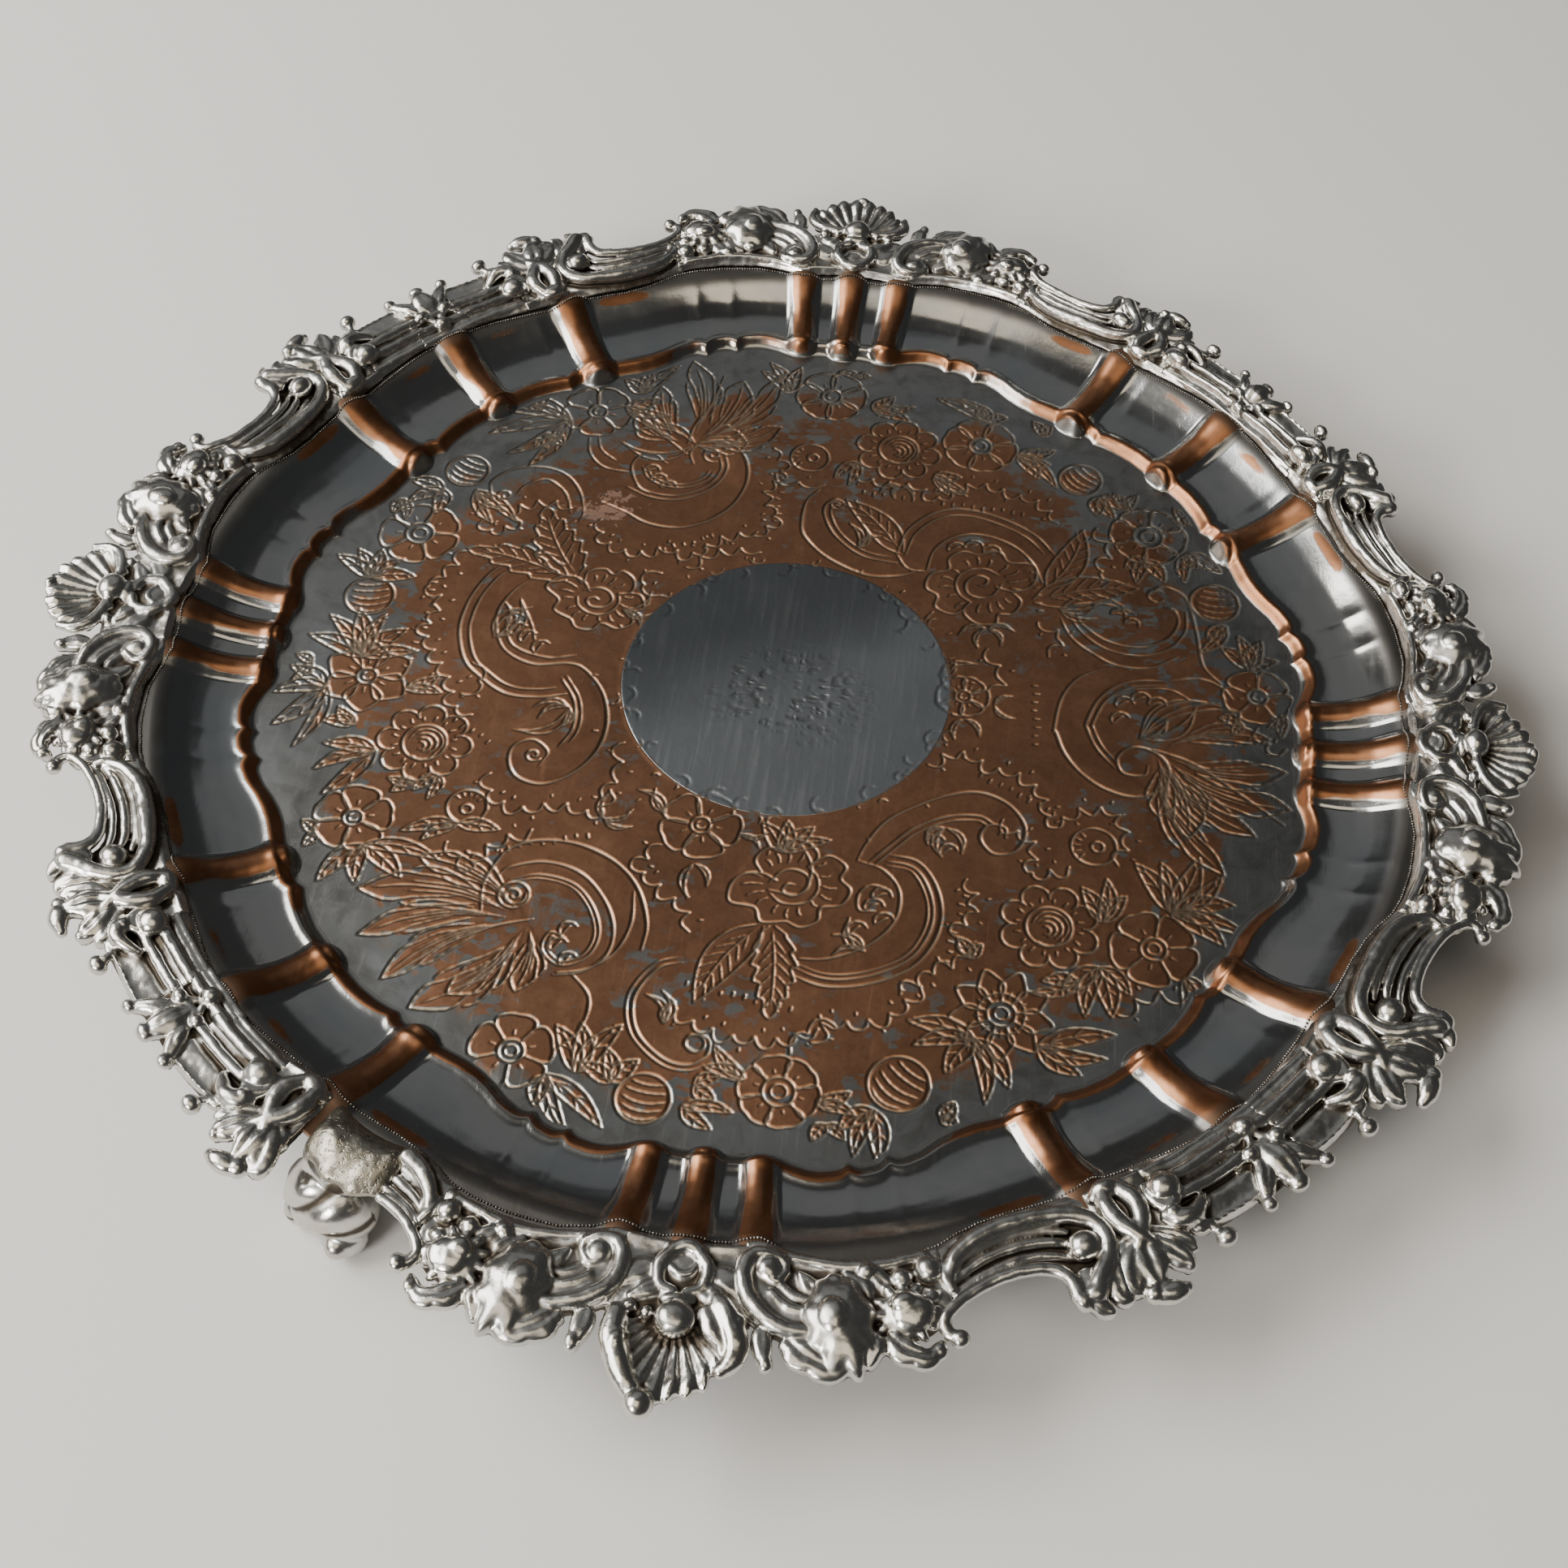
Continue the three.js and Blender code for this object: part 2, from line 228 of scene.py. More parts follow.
# ---- materials ----------------------------------------------------------------
class Nodes:
    def __init__(self, name):
        self.mat = bpy.data.materials.new(name)
        self.mat.use_nodes = True
        self.nt = self.mat.node_tree
        self.nt.nodes.clear()
        self.out = self.nt.nodes.new("ShaderNodeOutputMaterial")
        self.bsdf = self.nt.nodes.new("ShaderNodeBsdfPrincipled")
        self.nt.links.new(self.bsdf.outputs[0], self.out.inputs[0])
        self.tc = self.nt.nodes.new("ShaderNodeTexCoord")

    def put(self, socket, value):
        if hasattr(value, "links") or hasattr(value, "is_output"):
            self.nt.links.new(value, socket)
        else:
            socket.default_value = value

    def attr(self, name):
        n = self.nt.nodes.new("ShaderNodeAttribute")
        n.attribute_name = name
        return n.outputs["Fac"]

    def noise(self, scale, detail=4.0, rough=0.55, distortion=0.0, stretch=None, rot=None):
        n = self.nt.nodes.new("ShaderNodeTexNoise")
        n.inputs["Scale"].default_value = scale
        n.inputs["Detail"].default_value = detail
        n.inputs["Roughness"].default_value = rough
        n.inputs["Distortion"].default_value = distortion
        if stretch is None and rot is None:
            self.nt.links.new(self.tc.outputs["Object"], n.inputs["Vector"])
        else:
            m = self.nt.nodes.new("ShaderNodeMapping")
            self.nt.links.new(self.tc.outputs["Object"], m.inputs["Vector"])
            m.inputs["Scale"].default_value = stretch or (1, 1, 1)
            m.inputs["Rotation"].default_value = rot or (0, 0, 0)
            self.nt.links.new(m.outputs[0], n.inputs["Vector"])
        return n.outputs["Fac"]

    def voronoi(self, scale, feature="F1"):
        n = self.nt.nodes.new("ShaderNodeTexVoronoi")
        n.feature = feature
        n.inputs["Scale"].default_value = scale
        self.nt.links.new(self.tc.outputs["Object"], n.inputs["Vector"])
        return n.outputs["Distance"]

    def math(self, op, a, b=0.0, c=0.0, clamp=False):
        n = self.nt.nodes.new("ShaderNodeMath")
        n.operation = op
        n.use_clamp = clamp
        self.put(n.inputs[0], a)
        self.put(n.inputs[1], b)
        if op in ("MULTIPLY_ADD",):
            self.put(n.inputs[2], c)
        return n.outputs[0]

    def ramp(self, fac, lo, hi, out_lo=0.0, out_hi=1.0, smoothstep=True):
        n = self.nt.nodes.new("ShaderNodeMapRange")
        n.interpolation_type = "SMOOTHSTEP" if smoothstep else "LINEAR"
        self.put(n.inputs["Value"], fac)
        n.inputs["From Min"].default_value = lo
        n.inputs["From Max"].default_value = hi
        n.inputs["To Min"].default_value = out_lo
        n.inputs["To Max"].default_value = out_hi
        return n.outputs[0]

    def mix(self, fac, a, b):
        n = self.nt.nodes.new("ShaderNodeMix")
        n.data_type = "RGBA"
        self.put(n.inputs[0], fac)
        self.put(n.inputs[6], a if hasattr(a, "links") else (*a, 1.0))
        self.put(n.inputs[7], b if hasattr(b, "links") else (*b, 1.0))
        return n.outputs[2]

    def bump(self, height, strength, distance, normal=None):
        n = self.nt.nodes.new("ShaderNodeBump")
        n.inputs["Strength"].default_value = strength
        n.inputs["Distance"].default_value = distance
        self.put(n.inputs["Height"], height)
        if normal is not None:
            self.nt.links.new(normal, n.inputs["Normal"])
        return n.outputs[0]


SILVER = (0.47, 0.465, 0.445)
SILVER_COOL = (0.36, 0.38, 0.39)
COPPER = (0.35, 0.175, 0.10)
COPPER_LIGHT = (0.43, 0.225, 0.13)
COPPER_DARK = (0.24, 0.12, 0.07)
# dark tarnish colour of the hollows, also used as painted shade on the plate
TARNISH_AND_PAINTED_SHADE = (0.075, 0.062, 0.048)


def plate_material(name, floor=False):
    """Silver fused on copper, worn through on the high spots."""
    m = Nodes(name)
    b = m.bsdf
    wear = m.attr("wear")
    groove = m.attr("groove")
    big = m.noise(38.0, 5.0, 0.6)
    mid = m.noise(170.0, 6.0, 0.65, 0.6)
    fine = m.noise(900.0, 3.0, 0.6)
    n = m.math("ADD", m.math("MULTIPLY", m.math("SUBTRACT", big, 0.5), 0.55 if floor else 0.35),
               m.math("MULTIPLY", m.math("SUBTRACT", mid, 0.5), 1.05 if floor else 0.4))
    f = m.math("ADD", wear, n)
    copper = m.ramp(f, 0.42, 0.62) if floor else m.ramp(f, 0.46, 0.60)
    thin = m.ramp(f, 0.30, 0.52)
    silver = m.mix(m.ramp(big, 0.35, 0.7), SILVER, SILVER_COOL)
    if floor:
        # duller inside the tray, blotched where polish was left to dry
        silver = m.mix(m.ramp(mid, 0.40, 0.70, 0.25, 0.65), silver, (0.17, 0.165, 0.15))
    # where the silver is nearly through it yellows a little
    silver = m.mix(m.math("MULTIPLY", thin, 0.35), silver, (0.47, 0.38, 0.30))
    cop = m.mix(m.ramp(mid, 0.35, 0.72), COPPER, COPPER_LIGHT)
    cop = m.mix(m.ramp(fine, 0.45, 0.75, 0.0, 0.35), cop, COPPER_DARK)
    if not floor:
        # rubbed copper browns again on the wall
        cop = m.mix(m.ramp(mid, 0.30, 0.72, 0.75, 0.35), cop, (0.27, 0.115, 0.05))
    col = m.mix(copper, silver, cop)
    if floor:
        # the chased lines keep their silver
        lines = m.ramp(groove, 0.25, 0.8)
        col = m.mix(m.math("MULTIPLY", lines, 0.75), col, (0.46, 0.37, 0.27))
        pink = m.attr("pink")
        spot = m.math("ADD", pink, m.math("MULTIPLY", m.math("SUBTRACT", m.noise(420.0, 5.0, 0.7, 0.4), 0.5), 2.2))
        col = m.mix(m.ramp(spot, 0.56, 0.66), col, (0.88, 0.52, 0.37))
    # painted shade: the colour is darkened towards the dark tarnish colour in the crease at the foot of the riser, on
    # the top of the wall beside the border and on the underside
    painted_shade = m.attr("painted_shade")
    col = m.mix(m.math("MULTIPLY", painted_shade, 0.85, clamp=True), col, TARNISH_AND_PAINTED_SHADE)
    m.put(b.inputs["Base Color"], col)
    b.inputs["Metallic"].default_value = 1.0
    # wiping marks in two directions
    s1 = m.noise(900.0, 2.0, 0.5, 0.0, (1.0, 0.07, 1.0), (0, 0, 0.62))
    s2 = m.noise(1100.0, 2.0, 0.5, 0.0, (1.0, 0.06, 1.0), (0, 0, -0.95))
    s3 = m.noise(1300.0, 2.0, 0.5, 0.0, (1.0, 0.05, 1.0), (0, 0, 2.1))
    scr = m.math("ADD", m.ramp(s1, 0.60, 0.74), m.math("ADD", m.ramp(s2, 0.62, 0.76), m.ramp(s3, 0.62, 0.76)))
    rough = m.math("ADD", m.ramp(big, 0.3, 0.75, 0.25 if floor else 0.15, 0.34 if floor else 0.24),
                   m.math("MULTIPLY", scr, 0.03))
    rough = m.math("ADD", rough, m.math("MULTIPLY", copper, 0.06 if floor else 0.14))
    rough = m.math("ADD", rough, m.math("MULTIPLY", painted_shade, 0.25), clamp=True)
    m.put(b.inputs["Roughness"], rough)
    h = m.math("ADD", m.math("MULTIPLY", scr, -0.25), m.math("MULTIPLY", m.ramp(fine, 0.3, 0.8), 0.35))
    h = m.math("ADD", h, m.math("MULTIPLY", copper, -0.5))
    m.put(b.inputs["Normal"], m.bump(h, 0.25, 0.00006, m.bump(m.noise(60.0, 3.0, 0.5), 0.12, 0.0006)))
    return m.mat


def mount_material(name, warm=0.0, dark=1.0):
    """Struck silver: bright on the relief, tarnished in the hollows."""
    m = Nodes(name)
    b = m.bsdf
    cav = m.attr("cav")
    big = m.noise(55.0, 4.0, 0.6)
    mid = m.noise(260.0, 5.0, 0.6)
    fine = m.noise(1400.0, 3.0, 0.6)
    base = m.mix(m.ramp(big, 0.35, 0.7), (0.66, 0.645, 0.60), (0.55, 0.545, 0.52))
    base = m.mix(m.ramp(mid, 0.48, 0.78, 0.0, 0.55 + warm), base, (0.50, 0.44, 0.34))
    d = m.math("ADD", cav, m.math("MULTIPLY", m.math("SUBTRACT", mid, 0.5), 0.5))
    col = m.mix(m.ramp(d, 0.42, 0.90, 0.0, dark), base, TARNISH_AND_PAINTED_SHADE)
    m.put(b.inputs["Base Color"], col)
    b.inputs["Metallic"].default_value = 1.0
    rough = m.math("ADD", m.ramp(big, 0.3, 0.75, 0.22, 0.31), m.math("MULTIPLY", m.ramp(d, 0.35, 0.9), 0.25))
    rough = m.math("ADD", rough, m.math("MULTIPLY", m.ramp(fine, 0.5, 0.8), 0.06), clamp=True)
    m.put(b.inputs["Roughness"], rough)
    m.put(b.inputs["Normal"], m.bump(fine, 0.22, 0.00008, m.bump(mid, 0.22, 0.00035)))
    return m.mat


# ---- the sheet's wall, flange and underside --------------------------------------
def build_wall():
    n = 1280
    phi = np.arange(n) * 360.0 / n
    e = edge_r(phi)
    offs = np.concatenate([np.arange(-1.2, 5.2, 0.32), np.arange(5.2, 12, 0.62)])
    rings_r, rings_z, wear = [], [], []
    # upper face: from just under the floor's rim outwards
    for o in offs:
        rings_r.append(e + o)
    last = e + offs[-1]
    for s in np.linspace(0, 1, 22)[1:]:
        rings_r.append(last + (WALL_TOP + 1.2 - last) * s)
    for rr in (130.5, 133.0, 135.4, FLANGE_OUT - 0.15):
        rings_r.append(np.full(n, rr))
    verts = []
    w_all, d_all = [], []
    for r in rings_r:
        z, eh, rh = sheet_top(r, phi)
        # slow hammer-like unevenness of the hand-raised wall
        x, y = r * np.cos(np.radians(phi)), r * np.sin(np.radians(phi))
        lumps = 0.10 * fbm(x / 16.0, y / 16.0, 2, 5) + 0.03 * vnoise(x / 4.5, y / 4.5, 9)
        z = z + lumps * smooth((r - e) / 5.0)
        x, y = draw_in(x, y)
        f = fold(phi)
        # worn strip along the shoulder under the border beside the scrolls
        shoulder = np.exp(-((r / R - 1.185) / 0.017) ** 2) * (np.exp(-((f - 25.5) / 3.6) ** 4)
                   + 0.75 * np.exp(-((f - 39.5) / 2.8) ** 4) + 0.45 * np.exp(-((f - 12.0) / 3.0) ** 4))
        # silver survives in places along the crest
        lost = 0.80 + 0.34 * vnoise(phi / 5.5 + 40.0, r / 6.0, 18)
        wear_v = np.maximum(0.95 * eh * np.clip(lost, 0.45, 1.0), 0.98 * rh * np.clip(lost + 0.16, 0.6, 1.0))
        wear_v = np.maximum(wear_v, 0.78 * shoulder)
        # painted shade: a dark line in the crease at the foot of the riser, and the top of the wall beside the border
        # darkened
        d = np.exp(-((r - e + 0.35) / 0.55) ** 2) * 0.75
        d = np.maximum(d, smooth((r - 124.0) / 2.5) * 0.85)
        w_all.append(wear_v)
        d_all.append(d)
        verts.append(np.stack([x, y, FLOOR_Z + z - (0.06 if r is rings_r[0] else 0.0)], 1))
    top_count = len(verts)
    # outer edge and the underside back to the floor
    under = [np.full(n, rr) for rr in (FLANGE_OUT - 0.15, 131.0)]
    for s in np.linspace(0, 1, 12):
        under.append(127.0 + (e - 2.5 - 127.0) * s + 0.0)
    for k, r in enumerate(under):
        z, eh, rh = sheet_top(np.maximum(r - 0.35, 0), phi)
        x, y = draw_in(r * np.cos(np.radians(phi)), r * np.sin(np.radians(phi)))
        verts.append(np.stack([x, y, FLOOR_Z + z - SHEET], 1))
        w_all.append(np.zeros(n))
        # painted shade: the underside a little darker
        d_all.append(np.full(n, 0.25))
    for rr in (88.0, 60.0, 30.0, 8.0):
        x, y = rr * np.cos(np.radians(phi)), rr * np.sin(np.radians(phi))
        verts.append(np.stack([x, y, np.full(n, FLOOR_Z - SHEET)], 1))
        w_all.append(np.zeros(n))
        # painted shade: the middle of the underside a little darker
        d_all.append(np.full(n, 0.2))
    rows = len(verts)
    v = np.concatenate(verts)
    i = np.arange(n)
    faces = []
    for k in range(rows - 1):
        a = k * n + i
        bq = k * n + (i + 1) % n
        faces.append(np.stack([a, a + n, bq + n, bq], 1))
    faces = np.concatenate(faces)
    # the middle of the underside
    v = np.concatenate([v, [[0, 0, FLOOR_Z - SHEET]]])
    centre = len(v) - 1
    a = (rows - 1) * n + i
    fan = np.stack([a, np.full(n, centre), (rows - 1) * n + (i + 1) % n], 1)
    me = bpy.data.meshes.new("tray_wall")
    me.from_pydata([tuple(p) for p in v * MM], [], [tuple(q) for q in faces] + [tuple(q) for q in fan])
    me.update()
    me.shade_smooth()
    ob = bpy.data.objects.new("tray_wall", me)
    bpy.context.scene.collection.objects.link(ob)
    set_attr(ob, "wear", np.append(np.concatenate(w_all), 0))
    set_attr(ob, "painted_shade", np.append(np.concatenate(d_all), 0.2))
    set_attr(ob, "groove", np.zeros(len(v)))
    return ob


PLATE = plate_material("plate_worn")
FLOOR_MAT = plate_material("plate_chased", floor=True)
MOUNT = mount_material("mount_struck")

wall = settle(build_wall(), "tray_body", PLATE)


# ---- chased floor -------------------------------------------------------------------
# The chasing is set out on a plan grid of 700 units to R, x to the right and
# y towards the front, centre at 770, 770.
U = R / 700.0
CELL = 0.16
NG = int(2 * 108 / CELL)
FIELD = np.zeros((NG, NG), np.float32)      # 1 on a chased line's axis, 0 clear of it
FILLA = np.zeros((NG, NG), np.float32)      # ground inside the ornaments


def to_mm(p):
    return (p[0] - 770.0) * U, (770.0 - p[1]) * U


def quarter(ox, oy, rows):
    return [(x / 1.923 + ox, y / 1.923 + oy) for x, y in rows]


def smooth_path(rows, per=9):
    p = np.asarray(rows, float)
    if len(p) == 2:
        t = np.linspace(0, 1, per)[:, None]
        return p[0] * (1 - t) + p[1] * t
    q = np.vstack([2 * p[0] - p[1], p, 2 * p[-1] - p[-2]])
    out = []
    for i in range(1, len(q) - 2):
        p0, p1, p2, p3 = q[i - 1:i + 3]
        t = np.linspace(0, 1, per, endpoint=False)[:, None]
        out.append(0.5 * (2 * p1 + (p2 - p0) * t + (2 * p0 - 5 * p1 + 4 * p2 - p3) * t * t
                          + (3 * p1 - p0 - 3 * p2 + p3) * t ** 3))
    return np.vstack(out + [q[-2]])


LINES = [0]


def cut(rows, w=0.55, taper=0.35, per=9, depth=1.0):
    """One chased line; w is half its width in mm."""
    LINES[0] += 1
    s = smooth_path(rows, per)
    xy = np.column_stack([(s[:, 0] - 770.0) * U, (770.0 - s[:, 1]) * U])
    n = len(xy)
    u = np.linspace(0, 1, n)
    ww = 0.64 * w * (1.0 - taper * np.abs(2 * u - 1) ** 3)
    dd = depth * np.clip(1.25 - 0.85 * taper * np.abs(2 * u - 1) ** 4 * 1.6, 0.25, 1.0)
    dd *= 1.0 + 0.10 * np.sin(u * 31.0 + LINES[0])
    reach = 2.1
    for i in range(n - 1):
        a, b = xy[i], xy[i + 1]
        wo = reach * ww[i]
        lo = np.floor((np.minimum(a, b) - wo + 108) / CELL).astype(int)
        hi = np.ceil((np.maximum(a, b) + wo + 108) / CELL).astype(int) + 1
        lo = np.maximum(lo, 0)
        hi = np.minimum(hi, NG)
        if (hi <= lo).any():
            continue
        X = (np.arange(lo[0], hi[0]) * CELL - 108)[:, None]
        Y = (np.arange(lo[1], hi[1]) * CELL - 108)[None, :]
        d = b - a
        L = d @ d + 1e-9
        t = np.clip(((X - a[0]) * d[0] + (Y - a[1]) * d[1]) / L, 0, 1)
        dist = np.hypot(X - a[0] - t * d[0], Y - a[1] - t * d[1])
        v = np.clip(1 - dist / wo, 0, 1) * dd[i]
        win = FIELD[lo[0]:hi[0], lo[1]:hi[1]]
        np.maximum(win, v, out=win)


def offset_path(rows, k, per=9, end=None):
    s = smooth_path(rows, per)
    t = np.gradient(s, axis=0)
    t /= np.linalg.norm(t, axis=1)[:, None] + 1e-9
    kk = k if end is None else np.linspace(k, end, len(s))[:, None]
    return s + np.column_stack([-t[:, 1], t[:, 0]]) * kk


def twin(rows, k, w=0.55, end=None, w2=None):
    cut(rows, w)
    o = offset_path(rows, k, 9, end)
    cut(o[::4] if len(o) > 12 else o, w2 or w * 0.8)


def arc(cx, cy, r, a0, a1, w=0.5, n=None, ry=None, rot=0.0, taper=0.35):
    n = n or max(4, int(abs(a1 - a0) / 35))
    a = np.radians(np.linspace(a0, a1, n + 1))
    ry = r if ry is None else ry
    x, y = r * np.cos(a), ry * np.sin(a)
    c, s = math.cos(math.radians(rot)), math.sin(math.radians(rot))
    cut(np.column_stack([cx + x * c - y * s, cy + x * s + y * c]), w, taper, 6)


def ring(cx, cy, r, w=0.5):
    arc(cx, cy, r, 0, 360, w, 12, taper=0.0)


def spiral(cx, cy, r0, r1, a0, turns, w=0.6):
    n = int(abs(turns) * 12) + 2
    a = np.radians(a0) + np.linspace(0, turns * 2 * math.pi, n)
    r = np.linspace(r0, r1, n)
    cut(np.column_stack([cx + r * np.cos(a), cy + r * np.sin(a)]), w, 0.25, 5)


def fill(poly, v=1.0):
    """Mark the ground inside an outline."""
    p = np.array([[(x - 770.0) * U, (770.0 - y) * U] for x, y in poly])
    lo = np.maximum(((p.min(0) + 108) / CELL).astype(int), 0)
    hi = np.minimum(((p.max(0) + 108) / CELL).astype(int) + 2, NG)
    X = (np.arange(lo[0], hi[0]) * CELL - 108)[:, None]
    Y = (np.arange(lo[1], hi[1]) * CELL - 108)[None, :]
    inside = np.zeros((hi[0] - lo[0], hi[1] - lo[1]), bool)
    for i in range(len(p)):
        a, b = p[i], p[(i + 1) % len(p)]
        if a[1] == b[1]:
            continue
        c = (a[1] > Y) != (b[1] > Y)
        xi = (b[0] - a[0]) * (Y - a[1]) / (b[1] - a[1]) + a[0]
        inside ^= c & (X < xi)
    win = FILLA[lo[0]:hi[0], lo[1]:hi[1]]
    win[inside] = np.maximum(win[inside], v)


def blossom(cx, cy, eye, petals, reach, turn=0.0, pointed=False, w=0.5, veins=1):
    """An open flower: a ringed eye and outlined petals."""
    ring(cx, cy, eye, w)
    if eye > 15:
        ring(cx, cy, eye * 0.5, w * 0.8)
    else:
        arc(cx, cy, eye * 0.45, 20, 250, w * 0.9)
    for k in range(petals):
        a = math.radians(turn + 360.0 * k / petals)
        half = math.pi / petals
        d = np.array([math.cos(a), math.sin(a)])
        s = np.array([-d[1], d[0]])
        c = np.array([cx, cy])
        wide = reach * math.tan(half) * 0.86
        wide = min(wide, reach * 0.52)
        base = eye * 1.02
        if pointed:
            pts = [(base, -0.32), (base + (reach - base) * 0.45, -0.95), (reach * 0.86, -0.6), (reach * 1.06, 0.0),
                   (reach * 0.86, 0.6), (base + (reach - base) * 0.45, 0.95), (base, 0.32)]
        else:
            pts = [(base, -0.45), (base + (reach - base) * 0.42, -0.92), (reach * 0.86, -0.98), (reach, -0.42),
                   (reach * 0.985, 0.1), (reach * 0.97, 0.55), (reach * 0.83, 0.98),
                   (base + (reach - base) * 0.42, 0.92), (base, 0.45)]
        path = [c + d * q + s * wide * t * 0.92 for q, t in pts]
        cut(path, w, 0.2, 5)
        fill(path, 1.0)
        for j in range(veins):
            t = (j - (veins - 1) / 2) * 0.5
            cut([c + d * (base + 3) + s * wide * t * 0.4, c + d * (base + (reach - base) * 0.36) + s * wide * t * 0.9],
                w * 0.55, 0.6, 4)


def rose(cx, cy, turn=0.0, inner=30.0, outer=60.0):
    ring(cx, cy, inner, 0.52)
    for k in range(4):
        arc(cx + 1.5 - 2.0 * k, cy + 2 * k, inner * (0.78 - 0.19 * k), 190 + 18 * k, 395 + 22 * k, 0.42)
    arc(cx, cy + inner * 0.3, inner * 0.66, 10, 130, 0.4)
    n = 8
    for k in range(n):
        a = math.radians(turn + 360.0 * k / n)
        r = (inner + outer) * 0.515
        x, y = cx + r * math.cos(a), cy + r * math.sin(a)
        arc(x, y, (outer - inner) * 0.62, math.degrees(a) - 112, math.degrees(a) + 112, 0.5)
        cut([(cx + (inner + 5) * math.cos(a + 0.1), cy + (inner + 5) * math.sin(a + 0.1)),
             (cx + (inner + 15) * math.cos(a + 0.16), cy + (inner + 15) * math.sin(a + 0.16))], 0.36, 0.6, 4)
        cut([(cx + (inner + 5) * math.cos(a - 0.22), cy + (inner + 5) * math.sin(a - 0.22)),
             (cx + (inner + 13) * math.cos(a - 0.25), cy + (inner + 13) * math.sin(a - 0.25))], 0.34, 0.6, 4)
    fill([(cx + outer * math.cos(t), cy + outer * math.sin(t)) for t in np.linspace(0, 6.2, 24)], 1.0)


def bud(cx, cy, r, turn=0.0):
    """A round bud with bowed stripes."""
    ring(cx, cy, r, 0.55)
    c, s = math.cos(math.radians(turn)), math.sin(math.radians(turn))
    for k in np.linspace(-0.66, 0.66, 5):
        h = r * math.sqrt(1 - k * k) * 0.8
        pts = []
        for t in np.linspace(-1, 1, 5):
            x = t * h
            y = k * r + r * 0.20 * (1 - t * t) * (1 if k > -0.1 else 0.5)
            pts.append((cx + x * c - y * s, cy + x * s + y * c))
        cut(pts, 0.46, 0.45, 5)
    fill([(cx + r * math.cos(t), cy + r * math.sin(t)) for t in np.linspace(0, 6.2, 20)], 1.0)


def berry(cx, cy, r, turn=0.0):
    ring(cx, cy, r, 0.52)
    a = math.radians(turn)
    ring(cx + 0.16 * r * math.cos(a), cy + 0.16 * r * math.sin(a), r * 0.27, 0.5)
    for k in range(5):
        t = a + math.pi + (k - 2) * 0.42
        cut([(cx + r * 0.52 * math.cos(t), cy + r * 0.52 * math.sin(t)),
             (cx + r * 0.86 * math.cos(t), cy + r * 0.86 * math.sin(t))], 0.34, 0.6, 4)
    fill([(cx + r * math.cos(t), cy + r * math.sin(t)) for t in np.linspace(0, 6.2, 20)], 1.0)


def leaf_cut(root, tip, width, bend=0.0, veins=4, teeth=0, w=0.5, mid=True):
    """An outlined leaf with a midrib and hair veins."""
    a, b = np.asarray(root, float), np.asarray(tip, float)
    d = b - a
    L = float(np.hypot(*d))
    d /= L
    s = np.array([-d[1], d[0]])

    def at(t, k):
        return a + d * L * t + s * (bend * L * math.sin(math.pi * t) * 0.6 + k)
    for side in (-1, 1):
        pts = []
        n = teeth * 2 + 1 if teeth else 7
        for i in range(n):
            t = i / (n - 1)
            k = width * 0.5 * math.sin(math.pi * min(1, t ** 0.8 * 0.97 + 0.03)) ** 0.85
            if teeth and i % 2 == 0 and 0 < i < n - 1:
                pts.append(at(t - 0.35 / n, side * k * 0.80))
            else:
                pts.append(at(min(1, t + (0.25 / n if teeth else 0)), side * k * (1.08 if teeth else 1.0)))
        cut(pts, w, 0.25, 5 if not teeth else 3)
    fill([at(t, width * 0.45 * math.sin(math.pi * t)) for t in np.linspace(0, 1, 8)]
         + [at(t, -width * 0.45 * math.sin(math.pi * t)) for t in np.linspace(1, 0, 8)], 1.0)
    if mid:
        cut([at(0.0, 0), at(0.35, 0), at(0.66, 0), at(0.88, 0)], w * 0.75, 0.6)
    for i in range(veins):
        t = 0.16 + 0.62 * i / max(1, veins - 1)
        k = width * 0.5 * math.sin(math.pi * t ** 0.8)
        for side in (-1, 1):
            cut([at(t, side * 1.2), at(t + 0.07, side * k * 0.4), at(t + 0.15, side * k * 0.76)], w * 0.6, 0.6, 4)


def fan(root, tips, width=26.0, bend=0.12, veins=2, w=0.5):
    """Long leaves springing from one root."""
    n = len(tips)
    for i, t in enumerate(tips):
        k = bend * (1 if i < n / 2 else -1) * (1 + 0.3 * math.sin(i * 2.3))
        leaf_cut(root, t, width * (0.85 + 0.3 * abs(math.sin(i * 1.7 + 1))), k, veins + 1, 0, w, True)


def blade(root, tip, k=0.2, w=0.55, double=0.0):
    """A single bowed stroke with an optional return."""
    a, b = np.asarray(root, float), np.asarray(tip, float)
    d = b - a
    s = np.array([-d[1], d[0]])
    cut([a, a + d * 0.33 + s * k * 0.85, a + d * 0.7 + s * k * 0.8, b], w, 0.5, 7)
    if double:
        cut([b, a + d * 0.62 + s * (k * 0.8 + double), a + d * 0.28 + s * (k * 0.7 + double), a], w * 0.9, 0.5, 7)


def blades(root, tips, k=0.18, w=0.52, double=0.13):
    n = len(tips)
    for i, t in enumerate(tips):
        blade(root, t, k * (1 if i < n / 2 else -1), w, double * (1 if i < n / 2 else -1))


